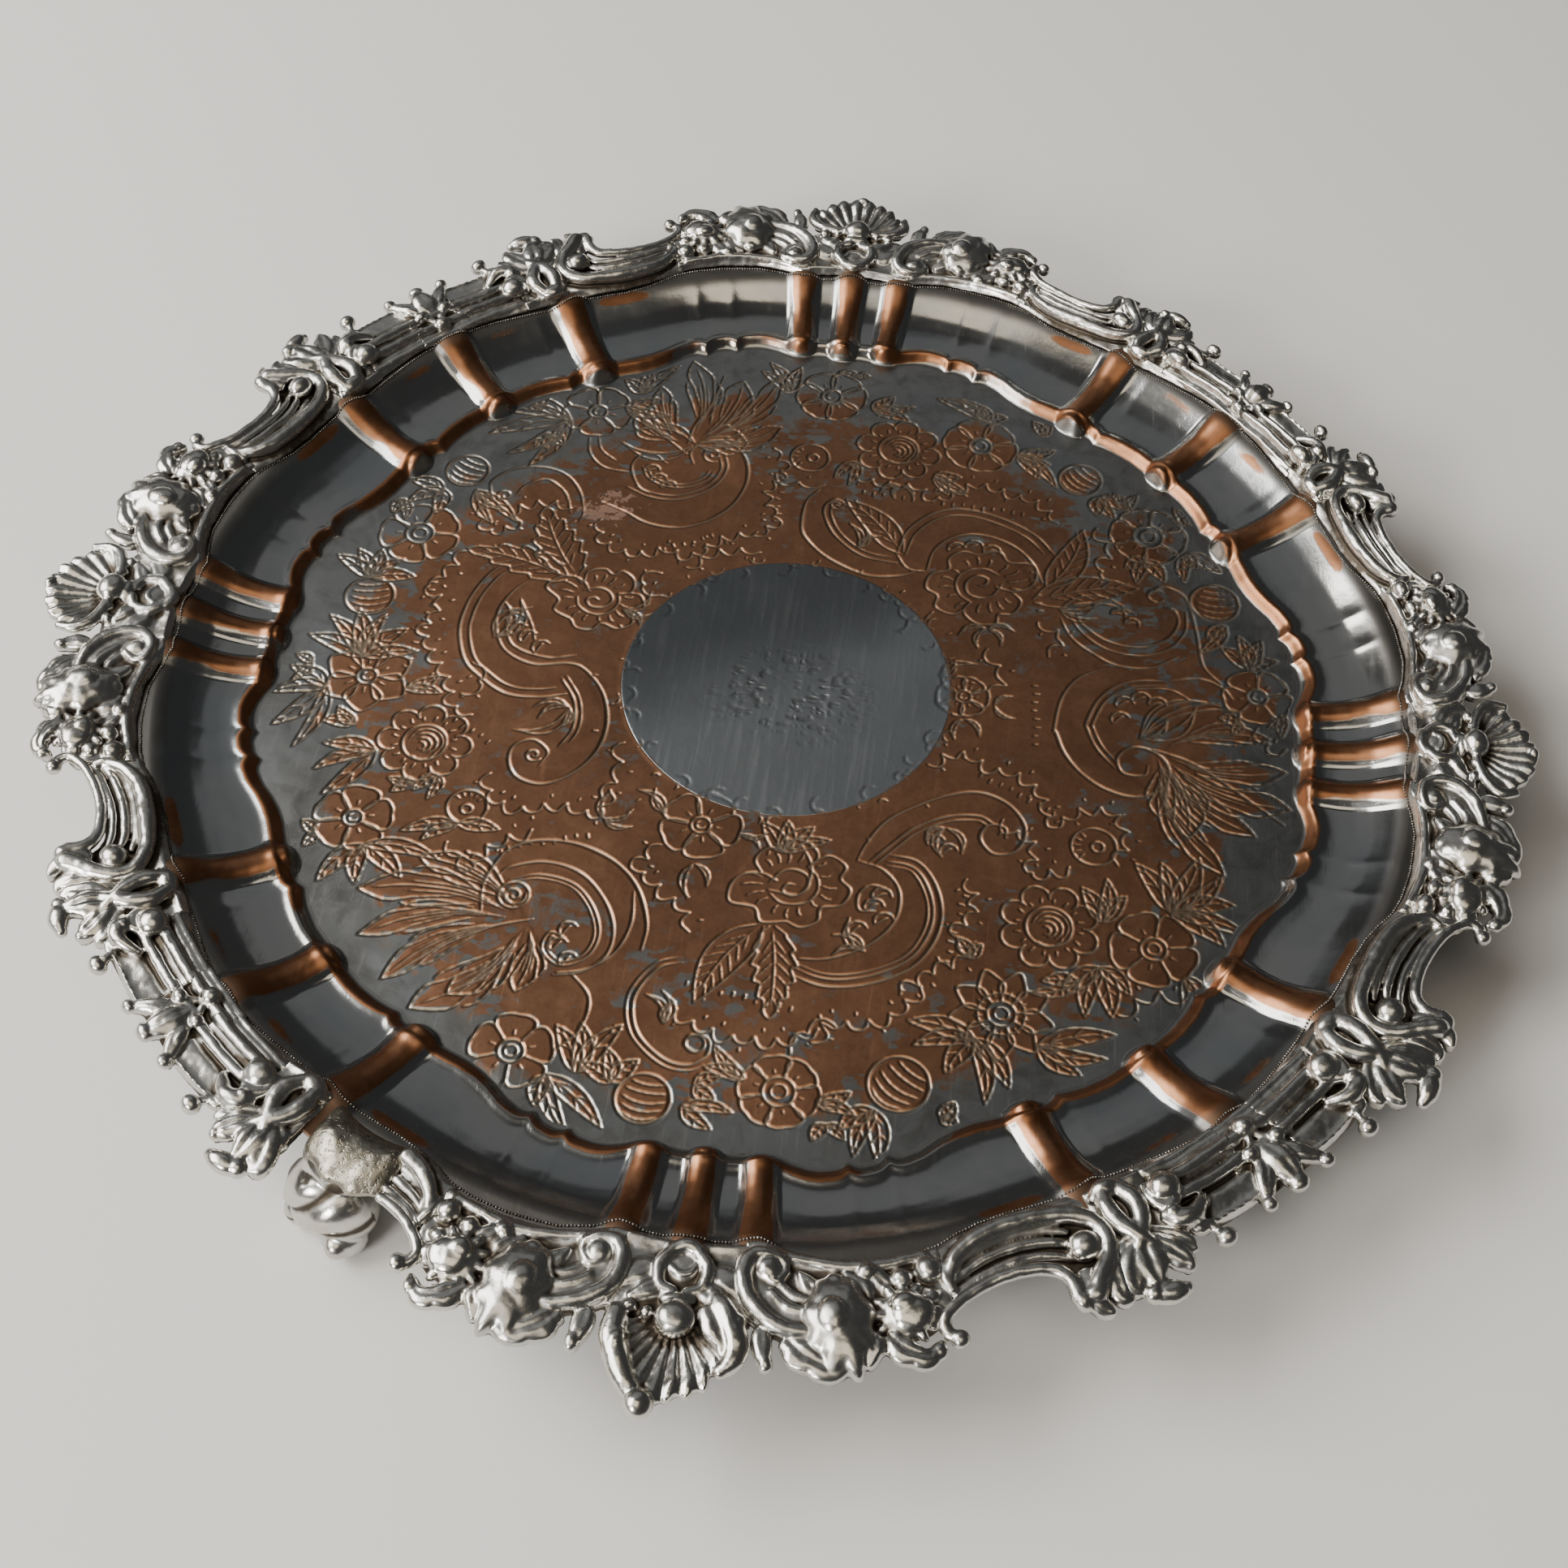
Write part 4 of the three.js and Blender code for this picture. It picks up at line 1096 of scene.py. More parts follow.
    # commas that run over the disc's edge
    for k in range(26):
        a = math.radians(k * 13.85 + 4 * math.sin(k * 1.3))
        r = 221 + 6 * math.sin(k * 2.3)
        arc(770 + r * math.cos(a), 743 + r * math.sin(a), 11 + 3 * math.sin(k * 1.7), math.degrees(a) + 60 + 60 * math.sin(k * 2.3),
            math.degrees(a) + 220 + 60 * math.sin(k * 2.3), 0.42)
    # small commas, dots and scallops close round the disc
    for k in range(30):
        a = math.radians(k * 12 + 3 * math.sin(k * 2.1))
        r = 236 + 7 * math.sin(k * 1.9)
        arc(770 + r * math.cos(a), 743 + r * math.sin(a), 8 + 3 * math.sin(k), math.degrees(a) + 100 + 40 * math.sin(k * 3.3),
            math.degrees(a) + 260 + 40 * math.sin(k * 3.3), 0.42)
        if k % 2:
            r2 = 258
            cut([(770 + r2 * math.cos(a), 770 + r2 * math.sin(a)),
                 (770 + (r2 + 10) * math.cos(a + 0.01), 770 + (r2 + 10) * math.sin(a + 0.01))], 0.38, 0.5, 3)


chase()


def sample(img, x, y):
    fx = np.clip((x + 108) / CELL, 0, NG - 1.001)
    fy = np.clip((y + 108) / CELL, 0, NG - 1.001)
    i, j = fx.astype(int), fy.astype(int)
    u, v = fx - i, fy - j
    return ((img[i, j] * (1 - u) + img[i + 1, j] * u) * (1 - v)
            + (img[i, j + 1] * (1 - u) + img[i + 1, j + 1] * u) * v)


def blur_grid(img, sigma):
    k = np.arange(-int(3 * sigma + 0.5), int(3 * sigma + 0.5) + 1)
    w = np.exp(-0.5 * (k / sigma) ** 2)
    w /= w.sum()
    for axis in (0, 1):
        out = np.zeros_like(img)
        for o, q in zip(k, w):
            out += q * np.roll(img, o, axis)
        img = out
    return img


def chase_height(v):
    """Depth of a chased line from its field: a round-bottomed furrow with a thrown lip."""
    d = (1.0 - v) * 2.1
    return -0.25 * np.exp(-(d / 0.80) ** 2) * (v > 0.01) + 0.045 * np.exp(-((d - 1.55) / 0.36) ** 2) * (v > 0.01)


HGT = blur_grid(chase_height(FIELD), 0.75)
NEAR = blur_grid(np.clip(FIELD * 1.5, 0, 1), 8.0)
FILLB = blur_grid(FILLA, 2.0)


def build_floor(h):
    n = int(2 * 112 / h)
    c = (np.arange(n) - n / 2 + 0.5) * h
    X, Y = np.meshgrid(c, c)
    r = np.hypot(X, Y)
    phi = np.degrees(np.arctan2(Y, X))
    b = edge_r(phi) - 0.35
    inner = SHIELD_R - 0.5
    rd = np.hypot(X, Y - SHIELD_Y)
    out = r - b
    snap = (np.abs(out) < h * 0.75)
    r2 = np.where(snap, b, r)
    snap_in = np.abs(rd - inner) < h * 0.75
    s = r2 / np.maximum(r, 1e-6)
    X, Y = X * s, Y * s
    sd = np.where(snap_in, inner / np.maximum(rd, 1e-6), 1.0)
    X, Y = X * sd, (Y - SHIELD_Y) * sd + SHIELD_Y
    valid = ((out <= 0) | snap) & ((rd >= inner) | snap_in)
    idx = np.arange(n * n).reshape(n, n)
    q = np.stack([idx[:-1, :-1], idx[:-1, 1:], idx[1:, 1:], idx[1:, :-1]], -1).reshape(-1, 4)
    ok = valid.ravel()[q].all(1)
    q = q[ok]
    used, inv = np.unique(q, return_inverse=True)
    x, y = X.ravel()[used], Y.ravel()[used]
    rr = np.hypot(x, y)
    edge = edge_r(np.degrees(np.arctan2(y, x))) - rr
    z = sheet_top(rr, np.degrees(np.arctan2(y, x)))[0]
    keep = smooth((edge - 0.3) / 1.2) * smooth((np.hypot(x, y - SHIELD_Y) - SHIELD_R - 0.1) / 0.8)
    # the hammered floor is never quite flat
    z = z + (0.10 * fbm(x / 14.0, y / 14.0, 2, 3) + 0.02 * vnoise(x / 3.2, y / 3.2, 8)) * smooth(edge / 4.0) * keep
    z = z + sample(HGT, x, y) * keep + 0.05 * sample(FILLB, x, y) * keep
    pts = np.stack([x, y, FLOOR_Z + z], 1)
    return pts, inv.reshape(-1, 4), edge


def vertex_normals(p, q):
    n = np.zeros_like(p)
    fn = np.cross(p[q[:, 2]] - p[q[:, 0]], p[q[:, 3]] - p[q[:, 1]])
    for k in range(4):
        np.add.at(n, q[:, k], fn)
    return n / (np.linalg.norm(n, axis=1)[:, None] + 1e-12)


pts, quads, _ = build_floor(0.215)
nrm = vertex_normals(pts, quads)
if nrm[:, 2].mean() < 0:
    quads = quads[:, ::-1]
    nrm = -nrm
x, y = pts[:, 0], pts[:, 1]
rr = np.hypot(x, y) / R
# wear: full in the middle, thinning outwards, less on the matted ground
reach = 0.86 + 0.05 * smooth((-y - 10) / 50.0) - 0.05 * smooth((y - 20) / 50.0) - 0.03 * smooth((-x - 60) / 30.0) + 0.03 * smooth((x - 40) / 40.0)
filled = sample(FILLB, x, y)
wear = 0.74 - 0.62 * smooth((rr - reach + 0.07 * (1 - filled)) / 0.17) + 0.07 * filled
near = sample(NEAR, x, y)
patch = fbm(x / 3.4, y / 1.9, 3, 83) + 0.6 * fbm(x / 15.0, y / 12.0, 2, 84)
wear -= (0.36 - 0.22 * filled) * smooth((patch - 0.10) / 0.22) * (0.45 + 0.55 * smooth((rr - 0.45) / 0.3)) * (0.5 + 0.9 * near)
groove = np.clip(sample(np.clip((FIELD - 0.45) / 0.4, 0, 1), x, y), 0, 1)
pink = 0.70 * np.exp(-(((x + 46) * 0.92 + (y - 49) * 0.38) / 11) ** 2 - (((y - 49) * 0.92 - (x + 46) * 0.38) / 7) ** 2)
ang = (np.degrees(np.arctan2(y, x)) + 360.0) % 360.0
cq = ang[quads].mean(1)
spread = ang[quads].max(1) - ang[quads].min(1)
cq = np.where(spread > 180, 0.0, cq)
SECT = 8
for k in range(SECT):
    sel = (cq >= k * 360.0 / SECT) & (cq < (k + 1) * 360.0 / SECT)
    qk = quads[sel]
    used, inv = np.unique(qk, return_inverse=True)
    ob = new_mesh(f"tray_floor_{k + 1}", pts[used], inv.reshape(-1, 4))
    ob.data.normals_split_custom_set_from_vertices([tuple(t) for t in nrm[used]])
    set_attr(ob, "wear", wear[used])
    set_attr(ob, "groove", groove[used])
    # painted shade: darker within about a millimetre of the floor's edge, in the crease under the riser
    set_attr(ob, "painted_shade", 0.35 * smooth((0.9 - (edge_r(ang[used]) - rr[used] * R)) / 0.8))
    set_attr(ob, "pink", pink[used])
    settle(ob, "tray_body", FLOOR_MAT)
print("chased lines", LINES[0])

# ---- border ornaments -----------------------------------------------------------
# Each ornament is modelled once about the +X axis, in polar terms: degrees
# from the shell's axis, radius as a multiple of R, height in mm over the
# flange, then turned or mirrored into its places.
def pol(phi, r):
    a = math.radians(phi)
    return np.array([r * R * math.cos(a), r * R * math.sin(a)])


def spline(rows, per=8):
    p = np.asarray(rows, float)
    if len(p) < 3:
        t = np.linspace(0, 1, per + 1)[:, None]
        return p[0] * (1 - t) + p[-1] * t
    q = np.vstack([2 * p[0] - p[1], p, 2 * p[-1] - p[-2]])
    out = []
    for i in range(1, len(q) - 2):
        p0, p1, p2, p3 = q[i - 1:i + 3]
        for t in np.linspace(0, 1, per, endpoint=False):
            out.append(0.5 * (2 * p1 + (p2 - p0) * t + (2 * p0 - 5 * p1 + 4 * p2 - p3) * t * t
                              + (3 * p1 - p0 - 3 * p2 + p3) * t ** 3))
    out.append(q[-2])
    return np.array(out)


class Clay:
    """Closed shapes gathered to be fused into one skin."""

    def __init__(self):
        self.v, self.f, self.n = [], [], 0

    def put(self, v, f):
        self.v.append(np.asarray(v, float))
        self.f += [tuple(int(i) + self.n for i in q) for q in f]
        self.n += len(v)

    def grid_solid(self, top, bottom):
        """A slab between two grids of points with the same shape."""
        a, b = top.shape[:2]
        v = np.concatenate([top.reshape(-1, 3), bottom.reshape(-1, 3)])
        m = a * b
        f = []
        for i in range(a - 1):
            for j in range(b - 1):
                k = i * b + j
                f.append((k, k + b, k + b + 1, k + 1))
                f.append((m + k, m + k + 1, m + k + b + 1, m + k + b))
        for i in range(a - 1):
            k = i * b
            f.append((k, m + k, m + k + b, k + b))
            k = i * b + b - 1
            f.append((k + b, m + k + b, m + k, k))
        for j in range(b - 1):
            f.append((j + 1, m + j + 1, m + j, j))
            k = (a - 1) * b + j
            f.append((k, m + k, m + k + 1, k + 1))
        self.put(v, f)

    def tube(self, rows, per=7, m=14, flat=0.9):
        """Rows of degrees, radius, height and half-thickness."""
        s = spline(rows, per)
        xy = np.array([pol(p, r) for p, r in s[:, :2]])
        c = np.column_stack([xy, s[:, 2]])
        rad = np.maximum(s[:, 3], 0.12)
        t = np.gradient(c, axis=0)
        t /= np.linalg.norm(t, axis=1)[:, None] + 1e-9
        side = np.column_stack([-t[:, 1], t[:, 0], np.zeros(len(t))])
        side /= np.linalg.norm(side, axis=1)[:, None] + 1e-9
        up = np.cross(t, side)
        up[up[:, 2] < 0] *= -1
        cc, rr, ss, uu = [], [], [], []
        for k in (0.0, 0.38, 0.72):
            cc.append(c[0] - t[0] * rad[0] * (1 - k) * 0.95)
            rr.append(rad[0] * math.sqrt(max(1 - (1 - k) ** 2, 0.0004)))
            ss.append(side[0]); uu.append(up[0])
        cc += list(c); rr += list(rad); ss += list(side); uu += list(up)
        for k in (0.72, 0.38, 0.0):
            cc.append(c[-1] + t[-1] * rad[-1] * (1 - k) * 0.95)
            rr.append(rad[-1] * math.sqrt(max(1 - (1 - k) ** 2, 0.0004)))
            ss.append(side[-1]); uu.append(up[-1])
        a = np.arange(m) * 2 * math.pi / m
        v, f = [], []
        for k in range(len(cc)):
            ring = cc[k] + rr[k] * (np.cos(a)[:, None] * ss[k] + flat * np.sin(a)[:, None] * uu[k])
            v.append(ring)
        n = len(cc)
        for k in range(n - 1):
            for j in range(m):
                p, q = k * m + j, k * m + (j + 1) % m
                f.append((p, q, q + m, p + m))
        f.append(tuple(range(m - 1, -1, -1)))
        f.append(tuple((n - 1) * m + j for j in range(m)))
        self.put(np.concatenate(v), f)

    def ball(self, phi, r, z, a, b=None, c=None, turn=0.0, squeeze=0.0):
        """a along the turned radius, b across, c in height."""
        b = a if b is None else b
        c = a if c is None else c
        nu, nv = 18, 11
        v, f = [], []
        for i in range(nv):
            th = math.pi * (i + 0.5) / nv
            for j in range(nu):
                ph = 2 * math.pi * j / nu
                x, y, w = math.sin(th) * math.cos(ph), math.sin(th) * math.sin(ph), math.cos(th)
                k = 1.0 - squeeze * (x * 0.5 + 0.5)
                v.append((a * x, b * y * k, c * w * (0.5 * k + 0.5)))
        for i in range(nv - 1):
            for j in range(nu):
                p, q = i * nu + j, i * nu + (j + 1) % nu
                f.append((p, p + nu, q + nu, q))
        f.append(tuple(range(nu)))
        f.append(tuple((nv - 1) * nu + nu - 1 - j for j in range(nu)))
        v = np.array(v)
        t = math.radians(phi + turn)
        rot = np.array([[math.cos(t), -math.sin(t)], [math.sin(t), math.cos(t)]])
        v[:, :2] = v[:, :2] @ rot.T + pol(phi, r)
        v[:, 2] += z
        self.put(v, f)

    def leaf(self, rows, width, puff=0.9, groove=0.55, lobes=0, cut=0.2, thick=1.7, tip=0.75, veins=0):
        """A leaf along a spine of (degrees, radius, height) rows."""
        s = spline(rows, 10)
        xy = np.array([pol(p, r) for p, r in s[:, :2]])
        t = np.gradient(xy, axis=0)
        t /= np.linalg.norm(t, axis=1)[:, None] + 1e-9
        side = np.column_stack([-t[:, 1], t[:, 0]])
        n = len(s)
        u = np.linspace(0, 1, n)
        w = width * 1.12 * np.sin(math.pi * np.clip(u ** tip * 0.9 + 0.07, 0, 1)) ** 0.6
        w = np.maximum(w, 0.3)
        if lobes:
            w = w * (1 - cut + cut * np.abs(np.cos(math.pi * lobes * u)) ** 0.7)
        vv = np.linspace(-1, 1, 15)
        top = np.zeros((n, len(vv), 3))
        bot = np.zeros_like(top)
        for i in range(n):
            for j, v in enumerate(vv):
                p = xy[i] + side[i] * w[i] * v - t[i] * abs(v) * w[i] * (0.35 if lobes else 0.0)
                z = s[i, 2] + puff * (1 - abs(v) ** 2.4) - 0.8 * groove * math.exp(-(v / 0.24) ** 2) * (1 - u[i] ** 3)
                if veins:
                    z += 0.16 * math.cos(2 * math.pi * (veins * u[i] - 1.1 * abs(v))) * (1 - abs(v)) * 1.4
                top[i, j] = (*p, z)
                bot[i, j] = (*p, s[i, 2] - thick)
        self.grid_solid(top, bot)

    def flower(self, phi, r, z, radius, petals=13, turn=0.0, dome=0.72, lean=0.0):
        """A domed head with a toothed rim."""
        c = pol(phi, r)
        for k in range(petals):
            a = 360.0 * k / petals + turn
            d = np.array([math.cos(math.radians(a + phi)), math.sin(math.radians(a + phi))])
            p = c + d * radius * 0.80
            pr, pp = np.hypot(*p) / R, math.degrees(math.atan2(p[1], p[0]))
            self.ball(pp, pr, z - 0.75 - 0.2 * (k % 2), radius * 0.36, radius * 0.19, 1.1, turn=a + phi - pp)
        self.ball(phi, r, z - 0.6, radius * 0.84, radius * 0.84, 1.5)
        self.ball(phi + 0.2 + lean, r + 0.003, z + 0.1, radius * dome, radius * dome * 1.1, 1.8)
        self.ball(phi - 0.3 + lean, r - 0.012, z + 0.7, radius * dome * 0.62, radius * dome * 0.7, 1.5)

    def pod(self, phi, r, z, a, b, h, lobes=7, amp=0.13, turn=0.0, seed=0):
        """A worn gadrooned dome with a lobed skirt."""
        nu, nv = 60, 16
        v, f = [], []
        for i in range(nv):
            th = math.pi * (i + 0.5) / nv
            low = math.sin(th) ** 2 * (1.0 if th > math.pi / 2 else 0.85)
            for j in range(nu):
                ph = 2 * math.pi * j / nu
                out = 0.5 + 0.5 * math.cos(ph)
                k = 1.0 + amp * -math.cos(lobes * ph + 0.6 * math.sin(ph)) * low * (0.35 + 0.65 * out)
                k *= 1.0 + 0.06 * math.sin(2 * ph + seed)
                v.append((a * math.sin(th) * math.cos(ph) * k, b * math.sin(th) * math.sin(ph) * k,
                          h * math.cos(th) * (1.0 + 0.06 * math.sin(3 * ph + seed) * math.sin(th))))
        for i in range(nv - 1):
            for j in range(nu):
                q0, q1 = i * nu + j, i * nu + (j + 1) % nu
                f.append((q0, q0 + nu, q1 + nu, q1))
        f.append(tuple(range(nu)))
        f.append(tuple((nv - 1) * nu + nu - 1 - j for j in range(nu)))
        v = np.array(v)
        t = math.radians(phi + turn)
        rot = np.array([[math.cos(t), -math.sin(t)], [math.sin(t), math.cos(t)]])
        v[:, :2] = v[:, :2] @ rot.T + pol(phi, r)
        v[:, 2] += z
        self.put(v, f)

    def slab(self, f0, f1, rin, rout, prof, step=0.35, nr=14, bottom=0.25):
        fs = np.arange(f0, f1 + 1e-6, (f1 - f0) / max(2, round((f1 - f0) / step)))
        top = np.zeros((len(fs), nr, 3))
        bot = np.zeros_like(top)
        for i, f in enumerate(fs):
            a, b = rin(f), rout(f)
            for j, t in enumerate(np.linspace(0, 1, nr)):
                rr = a + (b - a) * t
                x, y = pol(f, rr)
                top[i, j] = (x, y, prof(f, rr, a, b))
                bot[i, j] = (x, y, bottom)
        self.grid_solid(top, bot)


RIN = [[0, 1.214], [3.5, 1.210], [5.5, 1.205], [7.5, 1.222], [10, 1.238], [14, 1.244], [17.2, 1.242],
       [19.0, 1.236], [20.6, 1.222], [22.5, 1.211], [25, 1.206], [28, 1.209], [30.5, 1.212], [32.5, 1.203],
       [35, 1.210], [37, 1.214], [40, 1.222], [43, 1.228], [45, 1.224]]
ROUT = [[0, 1.36], [4.2, 1.352], [5.4, 1.335], [7.0, 1.372], [10, 1.392], [14, 1.395], [17, 1.380],
        [18.2, 1.362], [19.2, 1.340], [20.5, 1.324], [22.5, 1.3135], [24.5, 1.311], [26.2, 1.317],
        [27.1, 1.333], [27.8, 1.372], [29, 1.392], [31, 1.385], [33, 1.392], [35, 1.375], [36.4, 1.360],
        [38, 1.372], [41, 1.373], [45, 1.372]]
RIN, ROUT = np.array(RIN), np.array(ROUT)
RIN[:, 1] -= 0.007


def rin(f):
    return float(np.interp(fold(f), RIN[:, 0], RIN[:, 1]))


def rout(f):
    return float(np.interp(fold(f), ROUT[:, 0], ROUT[:, 1]))


def web_top(f, rr, a, b):
    s = (rr - a) * R
    e = (b - rr) * R
    z = 0.35 + 1.15 * math.sqrt(max(0.0, min(1.0, s / 1.3)))
    z += 0.45 * math.exp(-((s - 1.5) / 0.9) ** 2)
    # the ground swells into a mass under the flowers
    z += 0.95 * float(smooth((s - 3.5) / 3.0)) * (0.8 + 0.35 * float(vnoise(f * 0.55, rr * R / 3.4, 17)))
    z = min(z, 0.6 + 1.9 * math.sqrt(max(0.0, min(1.0, e / 1.6))))
    return z


def make_shell(torn=False):
    c = Clay()
    c.slab(-4.9, 4.9, rin, rout, web_top)
    # fan of flutes
    hinge = 1.335
    n, m = 121, 26
    ang = np.radians(np.linspace(-74, 74, n))
    top = np.zeros((n, m, 3))
    bot = np.zeros_like(top)
    flutes = 11
    for i, a in enumerate(ang):
        ph = (a / math.radians(74) * 0.5 + 0.5) * flutes
        rib = abs(math.cos(math.pi * ph)) ** 0.8
        long = 15.6 * (1 - 0.26 * (abs(a) / 1.29) ** 2.2) + 0.6 * rib
        if torn:
            d = math.degrees(a)
            long = float(np.interp(d, [-74, -45, -24, -8, 2, 12, 24, 38, 52, 74],
                                   [10.0, 11.6, 13.6, 15.4, 14.6, 13.6, 13.9, 12.6, 11.8, 10.2])) + 0.45 * rib
            long += 0.55 * math.sin(d * 0.43 + 1.0) * float(smooth((d + 2) / 12.0))
        for j, t in enumerate(np.linspace(0, 1, m)):
            x = hinge * R + long * t * math.cos(a) - 1.0 * (1 - t)
            y = long * t * math.sin(a) * 0.93
            z = 2.2 + 1.2 * t ** 1.5 - 0.9 * math.sin(math.pi * min(t * 1.05, 1)) - 0.9 * max(0, t - 0.86) / 0.14
            z += (0.95 * rib - 0.45) * smooth(t * 1.7) * (1.0 - 0.25 * t)
            top[i, j] = (x, y, z)
            bot[i, j] = (x, y, 0.3 + 0.5 * t)
    c.grid_solid(top, bot)
    # rolled rim on each side of the fan
    for s in (-1, 1):
        if not torn:
            c.tube([[s * 1.3, 1.345, 3.0, 1.1], [s * 2.6, 1.352, 2.9, 1.3], [s * 3.8, 1.368, 2.7, 1.4],
                    [s * 4.5, 1.396, 2.6, 1.3], [s * 4.3, 1.430, 2.7, 0.9]])
        c.leaf([[s * 2.2, 1.262, 1.9], [s * 3.3, 1.278, 2.1], [s * 4.3, 1.300, 1.9]], 2.2, 0.9, 0.2)
        c.leaf([[s * 1.2, 1.292, 2.3], [s * 2.3, 1.305, 2.8], [s * 3.5, 1.322, 2.4]], 1.7, 0.7, 0.3)
        c.tube([[s * 0.9, 1.232, 2.2, 1.2], [s * 1.75, 1.258, 2.4, 1.3], [s * 1.5, 1.292, 2.4, 1.15],
                [s * 0.5, 1.303, 2.6, 1.1]])
        c.ball(s * 2.75, 1.262, 1.7, 1.3, 1.1, 1.1)
        c.ball(s * 3.2, 1.336, 2.6, 1.1, 1.3, 1.2)
    c.tube([[-1.0, 1.231, 2.1, 1.3], [0, 1.222, 2.1, 1.5], [1.0, 1.231, 2.1, 1.3]])
    c.ball(0, 1.262, 1.6, 2.9, 3.0, 1.3)
    c.tube([[-0.9, 1.262, 2.4, 0.7], [-0.3, 1.272, 2.6, 0.7], [0.5, 1.270, 2.6, 0.7], [0.9, 1.256, 2.4, 0.7]])
    # boss at the hinge
    c.ball(0, 1.348, 3.2, 3.3, 3.5, 2.5)
    c.ball(0, 1.316, 2.6, 1.4, 3.2, 1.5)
    for s in (-1, 1):
        c.ball(s * 1.95, 1.343, 2.6, 1.3, 1.1, 1.3)
    if torn:
        c.ball(-1.25, 1.487, 2.7, 2.7, 2.6, 2.3)
        c.tube([[-3.9, 1.352, 2.4, 2.0], [-3.9, 1.385, 2.6, 2.3], [-3.2, 1.420, 2.7, 2.3], [-2.4, 1.452, 2.7, 2.0],
                [-1.5, 1.478, 2.7, 1.6]])
        c.ball(-3.5, 1.398, 3.0, 2.6, 1.9, 2.1)
        c.tube([[2.5, 1.302, 2.4, 1.5], [3.2, 1.328, 3.0, 2.0], [3.85, 1.356, 3.0, 2.1], [4.15, 1.384, 2.8, 2.2],
                [3.9, 1.408, 2.8, 1.9], [3.3, 1.424, 2.6, 1.3]])
        c.leaf([[2.1, 1.322, 3.0], [2.7, 1.350, 3.4], [3.3, 1.380, 3.2], [3.4, 1.405, 2.6]], 2.4, 0.9, 0.3, 2, 0.2)
        c.ball(4.2, 1.345, 3.2, 1.6, 1.3, 1.5)
    else:
        c.ball(0, 1.482, 2.6, 1.2, 1.5, 1.1)
    return c


def make_flower():
    c = Clay()
    c.slab(4.4, 18.7, rin, rout, web_top)
    # volute beside the shell
    c.tube([[7.4, 1.262, 2.2, 0.75], [7.25, 1.244, 2.2, 0.95], [6.2, 1.232, 2.3, 1.2], [5.0, 1.236, 2.4, 1.45],
            [4.35, 1.262, 2.6, 1.6], [4.6, 1.300, 2.8, 1.7], [5.7, 1.334, 3.0, 1.65], [7.2, 1.356, 3.0, 1.5],
            [8.8, 1.366, 2.8, 1.2]])
    c.tube([[7.35, 1.262, 2.3, 0.8], [6.7, 1.277, 2.4, 0.9], [5.95, 1.268, 2.4, 1.0]])
    c.ball(6.15, 1.258, 2.2, 2.3, 2.2, 1.6)
    # grooved body of the volute
    c.leaf([[5.1, 1.262, 1.5], [5.3, 1.296, 1.9], [6.5, 1.326, 2.2], [8.2, 1.346, 2.2], [9.6, 1.350, 1.8]], 3.6, 1.2, 0.2)
    c.tube([[6.3, 1.298, 2.4, 1.1], [7.6, 1.324, 2.7, 1.1], [9.4, 1.332, 2.5, 1.0]])
    c.tube([[6.9, 1.283, 2.0, 0.9], [8.0, 1.304, 2.3, 0.9], [9.4, 1.312, 2.1, 0.9]])
    # inner bead
    c.tube([[6.4, 1.224, 1.2, 1.0], [8.5, 1.240, 1.5, 1.05], [11.5, 1.254, 1.6, 1.1], [14.5, 1.257, 1.6, 1.1],
            [17.6, 1.250, 1.5, 1.0]])
    # bud between the fan and the flowers
    c.leaf([[5.7, 1.352, 2.4], [5.75, 1.385, 2.9], [6.1, 1.425, 2.5]], 1.7, 0.8, 0.25)
    c.ball(6.05, 1.412, 2.6, 1.7, 1.3, 1.3)
    # two flower heads
    c.pod(10.9, 1.356, 2.2, 8.4, 6.6, 3.6, 8, 0.15, 0.0, 1.0)
    c.ball(10.5, 1.345, 4.6, 3.6, 2.9, 1.9)
    c.flower(15.4, 1.345, 3.3, 5.2, 12, 28, 0.66, 0.25)
    # curled leaves along the outer edge
    c.leaf([[7.4, 1.372, 2.5], [8.4, 1.402, 3.2], [10.2, 1.424, 3.0], [12.2, 1.412, 2.2]], 2.4, 0.9, 0.5, 3, 0.22)
    c.leaf([[12.8, 1.372, 2.7], [12.9, 1.400, 3.3], [12.5, 1.428, 2.4]], 2.0, 0.9, 0.5, 2, 0.2)
    c.leaf([[14.0, 1.378, 2.6], [15.0, 1.408, 3.2], [16.4, 1.420, 3.0], [17.6, 1.398, 2.2]], 2.3, 0.9, 0.5, 3, 0.22)
    c.ball(8.1, 1.408, 2.6, 1.6, 1.3, 1.2)
    c.ball(17.1, 1.414, 2.5, 1.6, 1.5, 1.2)
    # leaves and berries under the flowers
    c.leaf([[12.9, 1.318, 2.3], [12.6, 1.292, 2.5], [11.6, 1.266, 1.8]], 1.9, 0.8, 0.5, 2, 0.2)
    c.leaf([[9.6, 1.308, 2.2], [9.0, 1.286, 2.4], [8.3, 1.262, 1.8]], 1.6, 0.7, 0.4)
    c.leaf([[14.6, 1.302, 2.2], [14.0, 1.282, 2.3], [13.2, 1.262, 1.8]], 1.6, 0.7, 0.4)
    for f, r, a in ((10.8, 1.284, 1.9), (15.6, 1.286, 1.8), (13.2, 1.268, 1.5), (17.3, 1.322, 1.6), (17.3, 1.356, 1.6)):
        c.ball(f, r, 2.1, a, a * 1.1, a * 0.9)
    c.leaf([[16.2, 1.300, 2.0], [17.0, 1.318, 2.4], [17.2, 1.344, 2.1]], 1.1, 0.6, 0.3)
    # pearl before the scroll
    c.ball(17.6, 1.278, 2.3, 2.3, 2.35, 2.1)
    c.tube([[15.6, 1.282, 1.7, 0.7], [16.6, 1.281, 1.8, 0.8], [17.4, 1.279, 1.9, 0.9]])
    return c


